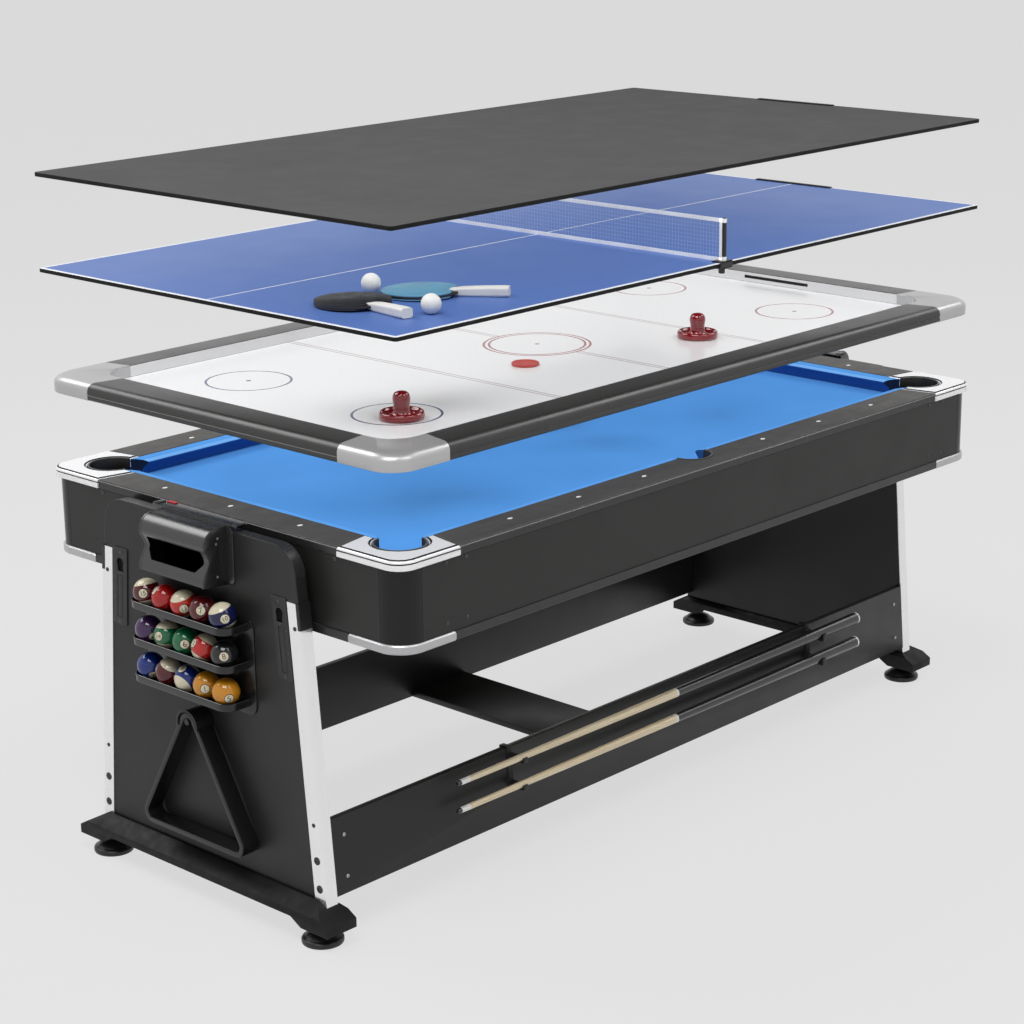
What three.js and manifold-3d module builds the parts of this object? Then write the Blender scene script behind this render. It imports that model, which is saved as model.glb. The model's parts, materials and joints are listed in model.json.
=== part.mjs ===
// Multi game table: a pool table on a stand, with an air hockey layer, a table tennis top and a
// dining top lifted apart above it, and the cues, balls, bats and triangle that go with it.
//
// Millimetres. X runs along the table, Y across it, +Z is up, and the origin is on the floor under
// the middle. "near" is -X, where the balls hang, "far" is +X, "front" is -Y, where the cues lie,
// and "back" is +Y.
import * as THREE from 'three';
import { mergeVertices } from 'three/addons/utils/BufferGeometryUtils.js';
import Module from 'manifold-3d';

// Fits and cuts
const FIT_GAP = 0.3;
const OVERRUN = 2;

// Sides of round pieces and steps of rounded corners
const COARSE_SIDES = 10;
const ROUND_SIDES = 14;
const FINE_SIDES = 20;
const BALL_RINGS = 7;
const CURVE_STEPS = 4;

// Levellers
const PAD_RADIUS = 43.5;
const PAD_BEVEL = 3;
const PAD_EDGE_HEIGHT = 9;
const PAD_DOME_RADIUS = 30;
const PAD_DOME_HEIGHT = 22;
const COLLAR_RADIUS = 13;
const COLLAR_FOOT_HEIGHT = 30;
const STEM_RADIUS = 6;
const STEM_LENGTH = 26;
const LEVELLER_BEAM_INSET = 2;
const LEVELLER_TIP_INSET = 60;

// Foot beams
const BEAM_BOTTOM = 37;
const BEAM_TRIM_INSET = 3;
const BEAM_WIDTH = 80;
const BEAM_TIP_REACH = 39.1;
const BEAM_SIDE_HEIGHT = 33;
const BEAM_SHELF_HEIGHT = 42;
const BEAM_RIDGE_HEIGHT = 55;
const BEAM_RIDGE_FLAT = 4;
const BEAM_INNER_BEVEL = 8;
const BEAM_TIP_HEIGHT = 20;
const BEAM_ARCH_HEIGHT = 17;
const BEAM_BLOCK_LENGTH = 79;
const BEAM_ARCH_SLOPE = 30;

// End panels and leg trims
const STAND_END_REACH = 50;
const TRIM_THICKNESS = 2;
const TRIM_FACE_WIDTH = 33;
const TRIM_TOP_DROP = 121.1;
const LEG_FOOT_HALF = 357.9;
const LEG_TOP_HALF = 305.9;
const PANEL_THICKNESS = 28;
const PANEL_TOP_DROP = 1;
const PANEL_HEAD_INSET = 7.9;
const PANEL_SHOULDER_RADIUS = 60;
const LOCK_PLATE_WIDTH = 46;
const LOCK_PLATE_HEIGHT = 172;
const LOCK_PLATE_DROP = 116;
const LOCK_PLATE_THICKNESS = 2.5;
const LOCK_PLATE_EDGE_GAP = 36;

// Side boards, cue clips and cross brace
const BOARD_LIFT = 14;
const BOARD_HEIGHT = 163;
const BOARD_THICKNESS = 15;
const BRACE_HALF_WIDTH = 92;
const BRACE_THICKNESS = 15;
const CLIP_FROM_TIP = 199;
const CLIP_FROM_BUTT = 152;
const CLIP_WIDTH = 14;
const CLIP_THICKNESS = 4;
const CLIP_FOOT_LIFT = 71;
const CLIP_HOOK_DEPTH = 14;

// Cues
const CUE_LEG_STANDOFF = 27.1;
const CUE_UPPER_DROP = 10;
const CUE_SPACING = 62;
const CUE_TIP_X = -677;
const CUE_LENGTH = 1417;
const CUE_SHAFT_LENGTH = 712;
const CUE_TIP_RADIUS = 6.2;
const CUE_BUTT_RADIUS = 14.2;
const CUE_TIP_LENGTH = 10;
const CUE_FERRULE_LENGTH = 26;
const CUE_BUMPER_LENGTH = 12;
const CUE_BUMPER_RADIUS = 11;
const CUE_TIP_ROUND = 4.6;

// Pool balls and their rack
const POOL_BALL_RADIUS = 28.6;
const POOL_BALL_PITCH = 59.5;
const BALLS_PER_ROW = 5;
const BALL_STANDOFF = 37.3;
const BALL_ROWS = 3;
const BALL_ROW_PITCH = 80;
const BALL_TOP_ROW_DROP = 53;
const BALL_PIN_RADIUS = 4;
const RACK_BACK_HALF = 170;
const RACK_BACK_DROP = 60;
const RACK_BACK_HEIGHT = 205;
const RACK_BACK_THICKNESS = 3;
const RACK_BACK_RADIUS = 22;
const TRAY_HALF = 154;
const TRAY_DEPTH = 66;
const TRAY_THICKNESS = 3;
const TRAY_LIP_HEIGHT = 16;
const TRAY_CORNER_RADIUS = 30;
const HOOK_RADIUS = 7;
const HOOK_LENGTH = 48;
const HOOK_NECK_HALF = 12;

// Triangle
const TRIANGLE_DROP = 22;
const TRIANGLE_HEIGHT = 281;
const TRIANGLE_ROUND = 26;
const TRIANGLE_BAR = 12;
const TRIANGLE_DEPTH = 42;

// Puck boxes, with heights over their lower edge
const BOX_HALF = 100;
const BOX_HEIGHT = 123;
const BOX_DEPTH = 67.5;
const BOX_WALL = 3;
const BOX_LIP_FOOT_HEIGHT = 6;
const BOX_LIP_HEIGHT = 23;
const BOX_WAIST_DEPTH = 51;
const BOX_WAIST_HEIGHT = 55;
const BOX_HOOD_DEPTH = 63;
const BOX_HOOD_HEIGHT = 92;
const BOX_CREST_DEPTH = 44;
const BOX_CREST_HEIGHT = 118;
const BOX_WINDOW_HALF = 85;
const BOX_WINDOW_FOOT_HEIGHT = 32;
const BOX_WINDOW_HEAD_HEIGHT = 78;
const BOX_WINDOW_CHAMFER = 17;
const BOX_WINDOW_CUT_DEPTH = 42;
const BOX_FLANGE_HALF = 119;
const BOX_FLANGE_RADIUS = 14;
const BOX_BAR_HALF = 130;
const BOX_BAR_THICKNESS = 4;
const BOX_BAR_REACH = 36;

// Cabinet
const CABINET_HALF_LENGTH = 975;
const CABINET_HALF_WIDTH = 540;
const CABINET_CORNER_RADIUS = 54;
const APRON_THICKNESS = 15;
const APRON_DROP = 171;
const APRON_SEAM_INSET = 40;
const LOWER_TRIM_HEIGHT = 19;
const LOWER_TRIM_THICKNESS = 25;
const LOWER_TRIM_PROUD = 3;
const LOWER_CORNER_PROUD = 5;
const LOWER_CORNER_ARM = 150;
const PIVOT_DROP = 95;
const PIVOT_BOSS_RADIUS = 35;
const PIVOT_PIN_RADIUS = 10;

// Pool rails, castings, bed and cushions
const RAIL_TOP = 828;
const RAIL_THICKNESS = 20;
const RAIL_WIDTH = 88;
const RAIL_PROUD = 2;
const CASTING_PROUD = 5;
const CASTING_RISE = 1.5;
const CASTING_CORNER_RADIUS = 59;
const CASTING_ARM_LENGTH = 160;
const CASTING_ARM_WIDTH = 169;
const RAIL_MITRE = 17;
const BED_DROP = 38;
const BED_THICKNESS = 18;
const CUSHION_WIDTH = 28;
const CUSHION_ROOT_DROP = 1;
const CUSHION_NOSE_DROP = 6;
const CUSHION_NOSE_HEIGHT = 7;
const CUSHION_UNDERCUT = 15;
const CORNER_POCKET_INSET = 9;
const CORNER_POCKET_RADIUS = 55;
const SIDE_POCKET_INSET = 2;
const SIDE_POCKET_RADIUS = 48;
const THROAT_REACH = 220;
const POCKET_WALL = 4;
const POCKET_DEPTH = 58;

// Air hockey layer
const HOCKEY_LIFT = 170;
const HOCKEY_END_OVERHANG = 7;
const HOCKEY_SIDE_INSET = 3;
const HOCKEY_HEIGHT = 36;
const HOCKEY_RAIL_WIDTH = 85;
const HOCKEY_SHOULDER = 8;
const HOCKEY_CORNER_RADIUS = 58;
const HOCKEY_FILLET_RADIUS = 60;
const HOCKEY_FIELD_TOP = 11;
const HOCKEY_FIELD_THICKNESS = 6;
const HOCKEY_CORNER_LENGTH = 151;
const HOCKEY_CORNER_WIDTH = 153;
const HOCKEY_SIDE_MITRE = 19;
const HOCKEY_END_MITRE = 16;
const HOCKEY_CORNER_WALL = 9;
const HOCKEY_CORNER_TOP = 15;
const GOAL_HALF = 100;
const GOAL_SLOT_BOTTOM = 20;
const GOAL_SLOT_HEIGHT = 8;
const GOAL_SLOT_DEPTH = 60;
const PLENUM_END_INSET = 57;
const PLENUM_SIDE_INSET = 47;
const PLENUM_DEPTH = 23;
const PLENUM_WALL = 5;
const BLOWER_RADIUS = 50;
const BLOWER_FLANGE_RADIUS = 62;
const BLOWER_FLANGE_THICKNESS = 3;
const BLOWER_HEIGHT = 18;
const BLOWER_INLET_RADIUS = 30;

// Pushers and puck
const PUSHER_RADIUS = 47;
const PUSHER_RIM_HEIGHT = 14;
const PUSHER_RIM_WIDTH = 9;
const PUSHER_VALLEY_HEIGHT = 8;
const PUSHER_VALLEY_RADIUS = 24;
const PUSHER_NECK_RADIUS = 14;
const PUSHER_NECK_HEIGHT = 30;
const PUSHER_KNOB_RADIUS = 19;
const PUSHER_KNOB_FOOT = 36;
const PUSHER_HEIGHT = 57;
const PUCK_RADIUS = 31;
const PUCK_THICKNESS = 6;

// Places on the field, as shares of its half length and half width
const PUSHER_PLACE_SHARES = { pusher_near: [-0.769, -0.58], pusher_far: [0.323, -0.52] };
const PUCK_PLACE_SHARES = [-0.195, -0.277];

// Table tennis layer
const TENNIS_LIFT = 218;
const TENNIS_END_INSET = 3;
const TENNIS_SIDE_OVERHANG = 2;
const TOP_THICKNESS = 9;
const TOP_CORNER_RADIUS = 8;
const GRIP_STRIP_HALF = 115;
const GRIP_STRIP_WIDTH = 16;
const GRIP_STRIP_RISE = 2.5;
const NET_HEIGHT = 92;
const NET_THICKNESS = 2;
const NET_TAPE = 11;
const NET_STRAND = 3;
const NET_COLUMNS = 24;
const NET_ROWS = 4;
const NET_POST_WIDTH = 12;
const NET_CLAMP_WIDTH = 40;
const NET_CLAMP_REACH = 27;
const NET_CLAMP_THICKNESS = 2.5;
const NET_JAW_THICKNESS = 3;
const NET_SCREW_RADIUS = 7;
const NET_SCREW_LENGTH = 12;
const TENNIS_BALL_RADIUS = 20;
const BAT_BLADE_LENGTH = 158;
const BAT_BLADE_WIDTH = 150;
const BAT_BLADE_THICKNESS = 10;
const BAT_HANDLE_LENGTH = 100;
const BAT_HANDLE_WIDTH = 28;
const BAT_HANDLE_THICKNESS = 21;
const BAT_HANDLE_ROUND = 7;

// Places on the tennis top, as shares of its half length and half width
// Headings of the bats are shares of a full turn
const TENNIS_BALL_PLACE_SHARES = { tennis_ball_near: [-0.729, -0.375], tennis_ball_front: [-0.802, -0.817] };
const BAT_PLACE_SHARES = { bat_black: [-0.8385, -0.483], bat_blue: [-0.679, -0.539] };
const BAT_HEADING_SHARES = { bat_black: -0.2725, bat_blue: -0.1556 };

// Dining layer
const DINING_LIFT = 195;
const DINING_END_INSET = 3;
const DINING_SIDE_INSET = 3;

// Heights that follow from the sizes above
const BEAM_SHELF_TOP = BEAM_BOTTOM + BEAM_SHELF_HEIGHT;
const PANEL_BOTTOM = BEAM_SHELF_TOP + FIT_GAP;
const BOARD_BOTTOM = BEAM_SHELF_TOP + BOARD_LIFT;
const BOARD_TOP = BOARD_BOTTOM + BOARD_HEIGHT;
const CLIP_FOOT = BOARD_BOTTOM + CLIP_FOOT_LIFT;
const CUE_Z_UPPER = BOARD_TOP - CUE_UPPER_DROP;
const CUE_Z_LOWER = CUE_Z_UPPER - CUE_SPACING;
const PANEL_TOP = RAIL_TOP - PANEL_TOP_DROP;
const TRIM_TOP = RAIL_TOP - TRIM_TOP_DROP;
const LOCK_PLATE_TOP = RAIL_TOP - LOCK_PLATE_DROP;
const LOCK_PLATE_BOTTOM = LOCK_PLATE_TOP - LOCK_PLATE_HEIGHT;
const BOX_BOTTOM = RAIL_TOP - BOX_HEIGHT;
const BALL_TOP_ROW_Z = BOX_BOTTOM - BALL_TOP_ROW_DROP;
const RACK_BACK_TOP = BOX_BOTTOM - RACK_BACK_DROP;
const RACK_BACK_BOTTOM = RACK_BACK_TOP - RACK_BACK_HEIGHT;
const TRIANGLE_TOP = RACK_BACK_BOTTOM - TRIANGLE_DROP;
const TRIANGLE_BOTTOM = TRIANGLE_TOP - TRIANGLE_HEIGHT;
const PIVOT_HEIGHT = RAIL_TOP - PIVOT_DROP;
const RAIL_BOTTOM = RAIL_TOP - RAIL_THICKNESS;
const CASTING_TOP = RAIL_TOP + CASTING_RISE;
const APRON_TOP = RAIL_BOTTOM - FIT_GAP;
const APRON_BOTTOM = RAIL_TOP - APRON_DROP;
const BED_TOP = RAIL_TOP - BED_DROP;
const BED_BOTTOM = BED_TOP - BED_THICKNESS;
const POCKET_BOTTOM = BED_TOP - POCKET_DEPTH;
const CUSHION_NOSE_TOP = RAIL_TOP - CUSHION_NOSE_DROP;
const HOCKEY_BOTTOM = RAIL_TOP + HOCKEY_LIFT;
const TENNIS_BOTTOM = HOCKEY_BOTTOM + HOCKEY_HEIGHT + TENNIS_LIFT;
const DINING_BOTTOM = TENNIS_BOTTOM + TOP_THICKNESS + DINING_LIFT;

// Places along and across the table that follow from the sizes above
const TRIM_OUTER_X = CABINET_HALF_LENGTH + STAND_END_REACH;
const BEAM_CENTRE_X = TRIM_OUTER_X - BEAM_TRIM_INSET;
const BEAM_HALF_LENGTH = LEG_FOOT_HALF + BEAM_TIP_REACH;
const LEVELLER_X = BEAM_CENTRE_X - LEVELLER_BEAM_INSET;
const LEVELLER_Y = BEAM_HALF_LENGTH - LEVELLER_TIP_INSET;
const PANEL_OUTER_X = TRIM_OUTER_X - TRIM_THICKNESS - FIT_GAP;
const PANEL_INNER_X = PANEL_OUTER_X - PANEL_THICKNESS;
const PANEL_HEAD_HALF = LEG_TOP_HALF - PANEL_HEAD_INSET;
const FACE_X = PANEL_OUTER_X + FIT_GAP;
const CUE_Y = LEG_FOOT_HALF + CUE_LEG_STANDOFF;
const CUE_BUTT_X = CUE_TIP_X + CUE_LENGTH;
const CUE_JOINT_X = CUE_TIP_X + CUE_SHAFT_LENGTH;
const CLIP_PLACES = [CUE_TIP_X + CLIP_FROM_TIP, CUE_BUTT_X - CLIP_FROM_BUTT];
const APRON_INNER_X = CABINET_HALF_LENGTH - APRON_THICKNESS;
const APRON_INNER_Y = CABINET_HALF_WIDTH - APRON_THICKNESS;
const APRON_SEAM_Y = CABINET_HALF_WIDTH - APRON_SEAM_INSET;
const RAIL_OUTER_X = CABINET_HALF_LENGTH + RAIL_PROUD;
const RAIL_OUTER_Y = CABINET_HALF_WIDTH + RAIL_PROUD;
const RAIL_INNER_X = RAIL_OUTER_X - RAIL_WIDTH;
const RAIL_INNER_Y = RAIL_OUTER_Y - RAIL_WIDTH;
const SIDE_RAIL_OUTER_END = CABINET_HALF_LENGTH - CASTING_ARM_LENGTH;
const SIDE_RAIL_INNER_END = SIDE_RAIL_OUTER_END - RAIL_MITRE;
const END_RAIL_OUTER_END = CABINET_HALF_WIDTH - CASTING_ARM_WIDTH;
const END_RAIL_INNER_END = END_RAIL_OUTER_END - RAIL_MITRE;
const CORNER_POCKET_X = RAIL_INNER_X - CORNER_POCKET_INSET;
const CORNER_POCKET_Y = RAIL_INNER_Y - CORNER_POCKET_INSET;
const SIDE_POCKET_Y = RAIL_INNER_Y - SIDE_POCKET_INSET;
const HOCKEY_HALF_LENGTH = CABINET_HALF_LENGTH + HOCKEY_END_OVERHANG;
const HOCKEY_HALF_WIDTH = CABINET_HALF_WIDTH - HOCKEY_SIDE_INSET;
const HOCKEY_INNER_X = HOCKEY_HALF_LENGTH - HOCKEY_RAIL_WIDTH;
const HOCKEY_INNER_Y = HOCKEY_HALF_WIDTH - HOCKEY_RAIL_WIDTH;
const HOCKEY_SIDE_JOINT_OUTER = HOCKEY_HALF_LENGTH - HOCKEY_CORNER_LENGTH;
const HOCKEY_SIDE_JOINT_INNER = HOCKEY_SIDE_JOINT_OUTER - HOCKEY_SIDE_MITRE;
const HOCKEY_END_JOINT_OUTER = HOCKEY_HALF_WIDTH - HOCKEY_CORNER_WIDTH;
const HOCKEY_END_JOINT_INNER = HOCKEY_END_JOINT_OUTER - HOCKEY_END_MITRE;
const PLENUM_HALF_LENGTH = HOCKEY_INNER_X - PLENUM_END_INSET;
const PLENUM_HALF_WIDTH = HOCKEY_INNER_Y - PLENUM_SIDE_INSET;
const TENNIS_HALF_LENGTH = CABINET_HALF_LENGTH - TENNIS_END_INSET;
const TENNIS_HALF_WIDTH = CABINET_HALF_WIDTH + TENNIS_SIDE_OVERHANG;
const DINING_HALF_LENGTH = CABINET_HALF_LENGTH - DINING_END_INSET;
const DINING_HALF_WIDTH = CABINET_HALF_WIDTH - DINING_SIDE_INSET;
const TRIANGLE_INNER_ROUND = TRIANGLE_ROUND - TRIANGLE_BAR;

// Ends and sides, as name and sign
const ENDS = { near: -1, far: 1 };
const SIDES = { front: -1, back: 1 };

// Colours and finishes
const FINISHES = {
  black_board: { color: 0x2b2b2c, roughness: 0.55, metalness: 0 },
  rail_laminate: { color: 0x4c4946, roughness: 0.5, metalness: 0 },
  black_plastic: { color: 0x1d1d1e, roughness: 0.4, metalness: 0 },
  chrome: { color: 0xe6e6e8, roughness: 0.12, metalness: 1 },
  satin_silver: { color: 0xb9b9bb, roughness: 0.35, metalness: 0.8 },
  blue_cloth: { color: 0x2f80d8, roughness: 0.95, metalness: 0 },
  hockey_white: { color: 0xe9ecf0, roughness: 0.3, metalness: 0 },
  hockey_rail: { color: 0x39393a, roughness: 0.4, metalness: 0 },
  pusher_red: { color: 0xa01420, roughness: 0.25, metalness: 0 },
  puck_red: { color: 0xc03a30, roughness: 0.4, metalness: 0 },
  tennis_blue: { color: 0x35509e, roughness: 0.5, metalness: 0 },
  net_white: { color: 0xdfe4ee, roughness: 0.8, metalness: 0 },
  dining_grey: { color: 0x4e4e4f, roughness: 0.6, metalness: 0 },
  bat_black: { color: 0x26282c, roughness: 0.8, metalness: 0 },
  bat_blue: { color: 0x5f9fc0, roughness: 0.8, metalness: 0 },
  ball_white: { color: 0xf4f4f2, roughness: 0.5, metalness: 0 },
  ball_gloss: { color: 0x8f1f24, roughness: 0.08, metalness: 0 },
  cue_wood: { color: 0xd9bd8b, roughness: 0.35, metalness: 0 },
  rubber: { color: 0x151515, roughness: 0.8, metalness: 0 },
};

const wasm = await Module();
wasm.setup();

// A geometry with shared corners, no flat triangles and its faces pointing out
function closed(geometry) {
  const bare = geometry.index ? geometry.toNonIndexed() : geometry.clone();
  bare.deleteAttribute('normal');
  bare.deleteAttribute('uv');
  const merged = mergeVertices(bare);
  const corner = merged.index.array;
  const position = merged.attributes.position;
  const kept = [];
  let volume = 0;
  const a = new THREE.Vector3();
  const b = new THREE.Vector3();
  const c = new THREE.Vector3();
  for (let i = 0; i < corner.length; i += 3) {
    const [p, q, r] = [corner[i], corner[i + 1], corner[i + 2]];
    if (p === q || q === r || r === p) continue;
    kept.push(p, q, r);
    a.fromBufferAttribute(position, p);
    b.fromBufferAttribute(position, q);
    c.fromBufferAttribute(position, r);
    volume += a.dot(b.cross(c));
  }
  merged.setIndex(volume < 0 ? kept.reverse() : kept);
  return merged;
}

function solid(geometry) {
  const tidy = closed(geometry);
  const vertProperties = Float32Array.from(tidy.attributes.position.array);
  const triVerts = Uint32Array.from(tidy.index.array);
  return new wasm.Manifold(new wasm.Mesh({ numProp: 3, vertProperties, triVerts }));
}

function geometryOf(body) {
  const mesh = body.getMesh();
  const geometry = new THREE.BufferGeometry();
  geometry.setAttribute('position', new THREE.BufferAttribute(Float32Array.from(mesh.vertProperties), 3));
  geometry.setIndex(Array.from(mesh.triVerts));
  return geometry;
}

function joined(...geometries) {
  return geometryOf(geometries.map(solid).reduce((whole, piece) => whole.add(piece)));
}

function cut(geometry, ...tools) {
  return geometryOf(tools.map(solid).reduce((whole, tool) => whole.subtract(tool), solid(geometry)));
}

function common(first, second) {
  return geometryOf(solid(first).intersect(solid(second)));
}

// The same form on the side of the table that the signs name
function mirrored(geometry, signX, signY) {
  return closed(geometry.clone().scale(signX, signY, 1));
}

function box(x0, x1, y0, y1, z0, z1) {
  const shape = new THREE.BoxGeometry(x1 - x0, y1 - y0, z1 - z0);
  return shape.translate((x0 + x1) / 2, (y0 + y1) / 2, (z0 + z1) / 2);
}

// Upright cylinder from height z0 to z1
function post(radius, x, y, z0, z1, sides = FINE_SIDES) {
  const shape = new THREE.CylinderGeometry(radius, radius, z1 - z0, sides);
  return shape.rotateX(Math.PI / 2).translate(x, y, (z0 + z1) / 2);
}

// Cylinder along X from x0 to x1
function pin(radius, x0, x1, y, z, sides = FINE_SIDES) {
  const shape = new THREE.CylinderGeometry(radius, radius, x1 - x0, sides);
  return shape.rotateZ(Math.PI / 2).translate((x0 + x1) / 2, y, z);
}

// A profile of [radius, height] points turned about an upright axis
function turned(profile, sides = ROUND_SIDES) {
  const points = profile.map(([radius, height]) => new THREE.Vector2(radius, height));
  return new THREE.LatheGeometry(points, sides).rotateX(Math.PI / 2);
}

function outline(points) {
  return new THREE.Shape(points.map(([x, y]) => new THREE.Vector2(x, y)));
}

function extruded(shape, depth) {
  const options = { depth, bevelEnabled: false, steps: 1, curveSegments: CURVE_STEPS };
  return new THREE.ExtrudeGeometry(shape, options);
}

// A plan outline (x, y) from height z0 to z1
function alongZ(shape, z0, z1) {
  return extruded(shape, z1 - z0).translate(0, 0, z0);
}

// A side outline (y, z) from x0 to x1
function alongX(shape, x0, x1) {
  const turn = new THREE.Matrix4().makeBasis(
    new THREE.Vector3(0, 1, 0),
    new THREE.Vector3(0, 0, 1),
    new THREE.Vector3(1, 0, 0),
  );
  return extruded(shape, x1 - x0).applyMatrix4(turn).translate(x0, 0, 0);
}

// An end outline (x, z) from y0 to y1
function alongY(shape, y0, y1) {
  return extruded(shape, y1 - y0).rotateX(Math.PI / 2).translate(0, y1, 0);
}

// Rounded rectangle about a centre
function roundedRect(halfX, halfY, radius, centreX = 0, centreY = 0) {
  const shape = new THREE.Shape();
  const corners = [[1, -1], [1, 1], [-1, 1], [-1, -1]];
  corners.forEach(([signX, signY], turn) => {
    const x = centreX + signX * (halfX - radius);
    const y = centreY + signY * (halfY - radius);
    const start = (turn - 1) * Math.PI / 2;
    shape.absarc(x, y, radius, start, start + Math.PI / 2, false);
  });
  shape.closePath();
  return shape;
}

// A ring between two rounded rectangles
function ring(halfX, halfY, radius, innerX, innerY, innerRadius, z0, z1) {
  const shape = roundedRect(halfX, halfY, radius);
  shape.holes.push(roundedRect(innerX, innerY, innerRadius));
  return alongZ(shape, z0, z1);
}

// Outer face of the leaning legs at a height, as a distance from the middle
function legEdge(z) {
  const slope = (LEG_TOP_HALF - LEG_FOOT_HALF) / (TRIM_TOP - PANEL_BOTTOM);
  return LEG_FOOT_HALF + slope * (z - PANEL_BOTTOM);
}

const LEG_LEAN = Math.atan((LEG_FOOT_HALF - LEG_TOP_HALF) / (TRIM_TOP - PANEL_BOTTOM));

// Distance across Y that a thickness square to the leaning leg takes
function acrossLean(thickness) {
  return thickness / Math.cos(LEG_LEAN);
}

function levellerGeometry() {
  return turned([
    [0, 0],
    [PAD_RADIUS - PAD_BEVEL, 0],
    [PAD_RADIUS, PAD_BEVEL],
    [PAD_RADIUS, PAD_EDGE_HEIGHT],
    [PAD_DOME_RADIUS, PAD_DOME_HEIGHT],
    [COLLAR_RADIUS, COLLAR_FOOT_HEIGHT],
    [COLLAR_RADIUS, BEAM_BOTTOM - FIT_GAP],
    [STEM_RADIUS, BEAM_BOTTOM - FIT_GAP],
    [STEM_RADIUS, BEAM_BOTTOM + STEM_LENGTH],
    [0, BEAM_BOTTOM + STEM_LENGTH],
  ], ROUND_SIDES);
}

// Foot beam at the far end: a section along Y, trimmed by an outline along X
function footBeamGeometry() {
  const inner = BEAM_CENTRE_X - BEAM_WIDTH / 2;
  const outer = BEAM_CENTRE_X + BEAM_WIDTH / 2;
  const ridge = TRIM_OUTER_X + FIT_GAP;
  const side = BEAM_BOTTOM + BEAM_SIDE_HEIGHT;
  const crest = BEAM_BOTTOM + BEAM_RIDGE_HEIGHT;
  const section = outline([
    [inner, BEAM_BOTTOM],
    [outer, BEAM_BOTTOM],
    [outer, side],
    [ridge + BEAM_RIDGE_FLAT, crest],
    [ridge, crest],
    [ridge, BEAM_SHELF_TOP],
    [inner + BEAM_INNER_BEVEL, BEAM_SHELF_TOP],
    [inner, side],
  ]);
  const tip = BEAM_BOTTOM + BEAM_TIP_HEIGHT;
  const archStart = BEAM_HALF_LENGTH - BEAM_BLOCK_LENGTH;
  const archEnd = archStart - BEAM_ARCH_SLOPE;
  const archTop = BEAM_BOTTOM + BEAM_ARCH_HEIGHT;
  const endRun = BEAM_HALF_LENGTH - LEG_FOOT_HALF - FIT_GAP;
  const endRise = BEAM_SHELF_TOP - tip;
  const clipTop = crest + OVERRUN;
  const clipHalf = BEAM_HALF_LENGTH - endRun * (clipTop - tip) / endRise;
  const half = [
    [archEnd, archTop],
    [archStart, BEAM_BOTTOM],
    [BEAM_HALF_LENGTH, BEAM_BOTTOM],
    [BEAM_HALF_LENGTH, tip],
    [clipHalf, clipTop],
  ];
  const mirror = half.map(([y, z]) => [-y, z]).reverse();
  const silhouette = outline([...half, ...mirror]);
  const whole = common(
    alongY(section, -BEAM_HALF_LENGTH, BEAM_HALF_LENGTH),
    alongX(silhouette, inner - OVERRUN, outer + OVERRUN),
  );
  const socketTop = BEAM_BOTTOM + STEM_LENGTH + OVERRUN;
  const sockets = Object.values(SIDES).map((sign) => post(
    STEM_RADIUS + FIT_GAP, LEVELLER_X, sign * LEVELLER_Y, BEAM_BOTTOM - OVERRUN, socketTop, ROUND_SIDES,
  ));
  return cut(whole, ...sockets);
}

// End panel at the far end, with its two lock plates and the pivot hole
function endPanelGeometry() {
  const inset = acrossLean(TRIM_THICKNESS + FIT_GAP);
  const foot = legEdge(PANEL_BOTTOM) - inset;
  const knee = legEdge(TRIM_TOP) - inset;
  const shoulderY = PANEL_HEAD_HALF - PANEL_SHOULDER_RADIUS;
  const shoulderZ = PANEL_TOP - PANEL_SHOULDER_RADIUS;
  const shape = new THREE.Shape();
  shape.moveTo(-foot, PANEL_BOTTOM);
  shape.lineTo(foot, PANEL_BOTTOM);
  shape.lineTo(knee, TRIM_TOP);
  shape.absarc(shoulderY, shoulderZ, PANEL_SHOULDER_RADIUS, 0, Math.PI / 2, false);
  shape.absarc(-shoulderY, shoulderZ, PANEL_SHOULDER_RADIUS, Math.PI / 2, Math.PI, false);
  shape.lineTo(-knee, TRIM_TOP);
  shape.closePath();
  const panel = alongX(shape, PANEL_INNER_X, PANEL_OUTER_X);
  const plates = Object.values(SIDES).map((sign) => {
    const edge = (z) => legEdge(z) - LOCK_PLATE_EDGE_GAP;
    const plate = outline([
      [sign * (edge(LOCK_PLATE_BOTTOM) - LOCK_PLATE_WIDTH), LOCK_PLATE_BOTTOM],
      [sign * edge(LOCK_PLATE_BOTTOM), LOCK_PLATE_BOTTOM],
      [sign * edge(LOCK_PLATE_TOP), LOCK_PLATE_TOP],
      [sign * (edge(LOCK_PLATE_TOP) - LOCK_PLATE_WIDTH), LOCK_PLATE_TOP],
    ]);
    return alongX(plate, PANEL_OUTER_X - OVERRUN, PANEL_OUTER_X + LOCK_PLATE_THICKNESS);
  });
  const pivotHole = pin(
    PIVOT_PIN_RADIUS + FIT_GAP, PANEL_INNER_X - OVERRUN, PANEL_OUTER_X + OVERRUN, 0, PIVOT_HEIGHT,
  );
  return cut(joined(panel, ...plates), pivotHole);
}

// Angle trim over the far back edge of a panel
function legTrimGeometry() {
  const strip = (width, x0, x1) => {
    const across = acrossLean(width);
    const shape = outline([
      [legEdge(PANEL_BOTTOM) - across, PANEL_BOTTOM],
      [legEdge(PANEL_BOTTOM), PANEL_BOTTOM],
      [legEdge(TRIM_TOP), TRIM_TOP],
      [legEdge(TRIM_TOP) - across, TRIM_TOP],
    ]);
    return alongX(shape, x0, x1);
  };
  return joined(
    strip(TRIM_THICKNESS, PANEL_INNER_X, TRIM_OUTER_X),
    strip(TRIM_FACE_WIDTH, TRIM_OUTER_X - TRIM_THICKNESS, TRIM_OUTER_X),
  );
}

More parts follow.
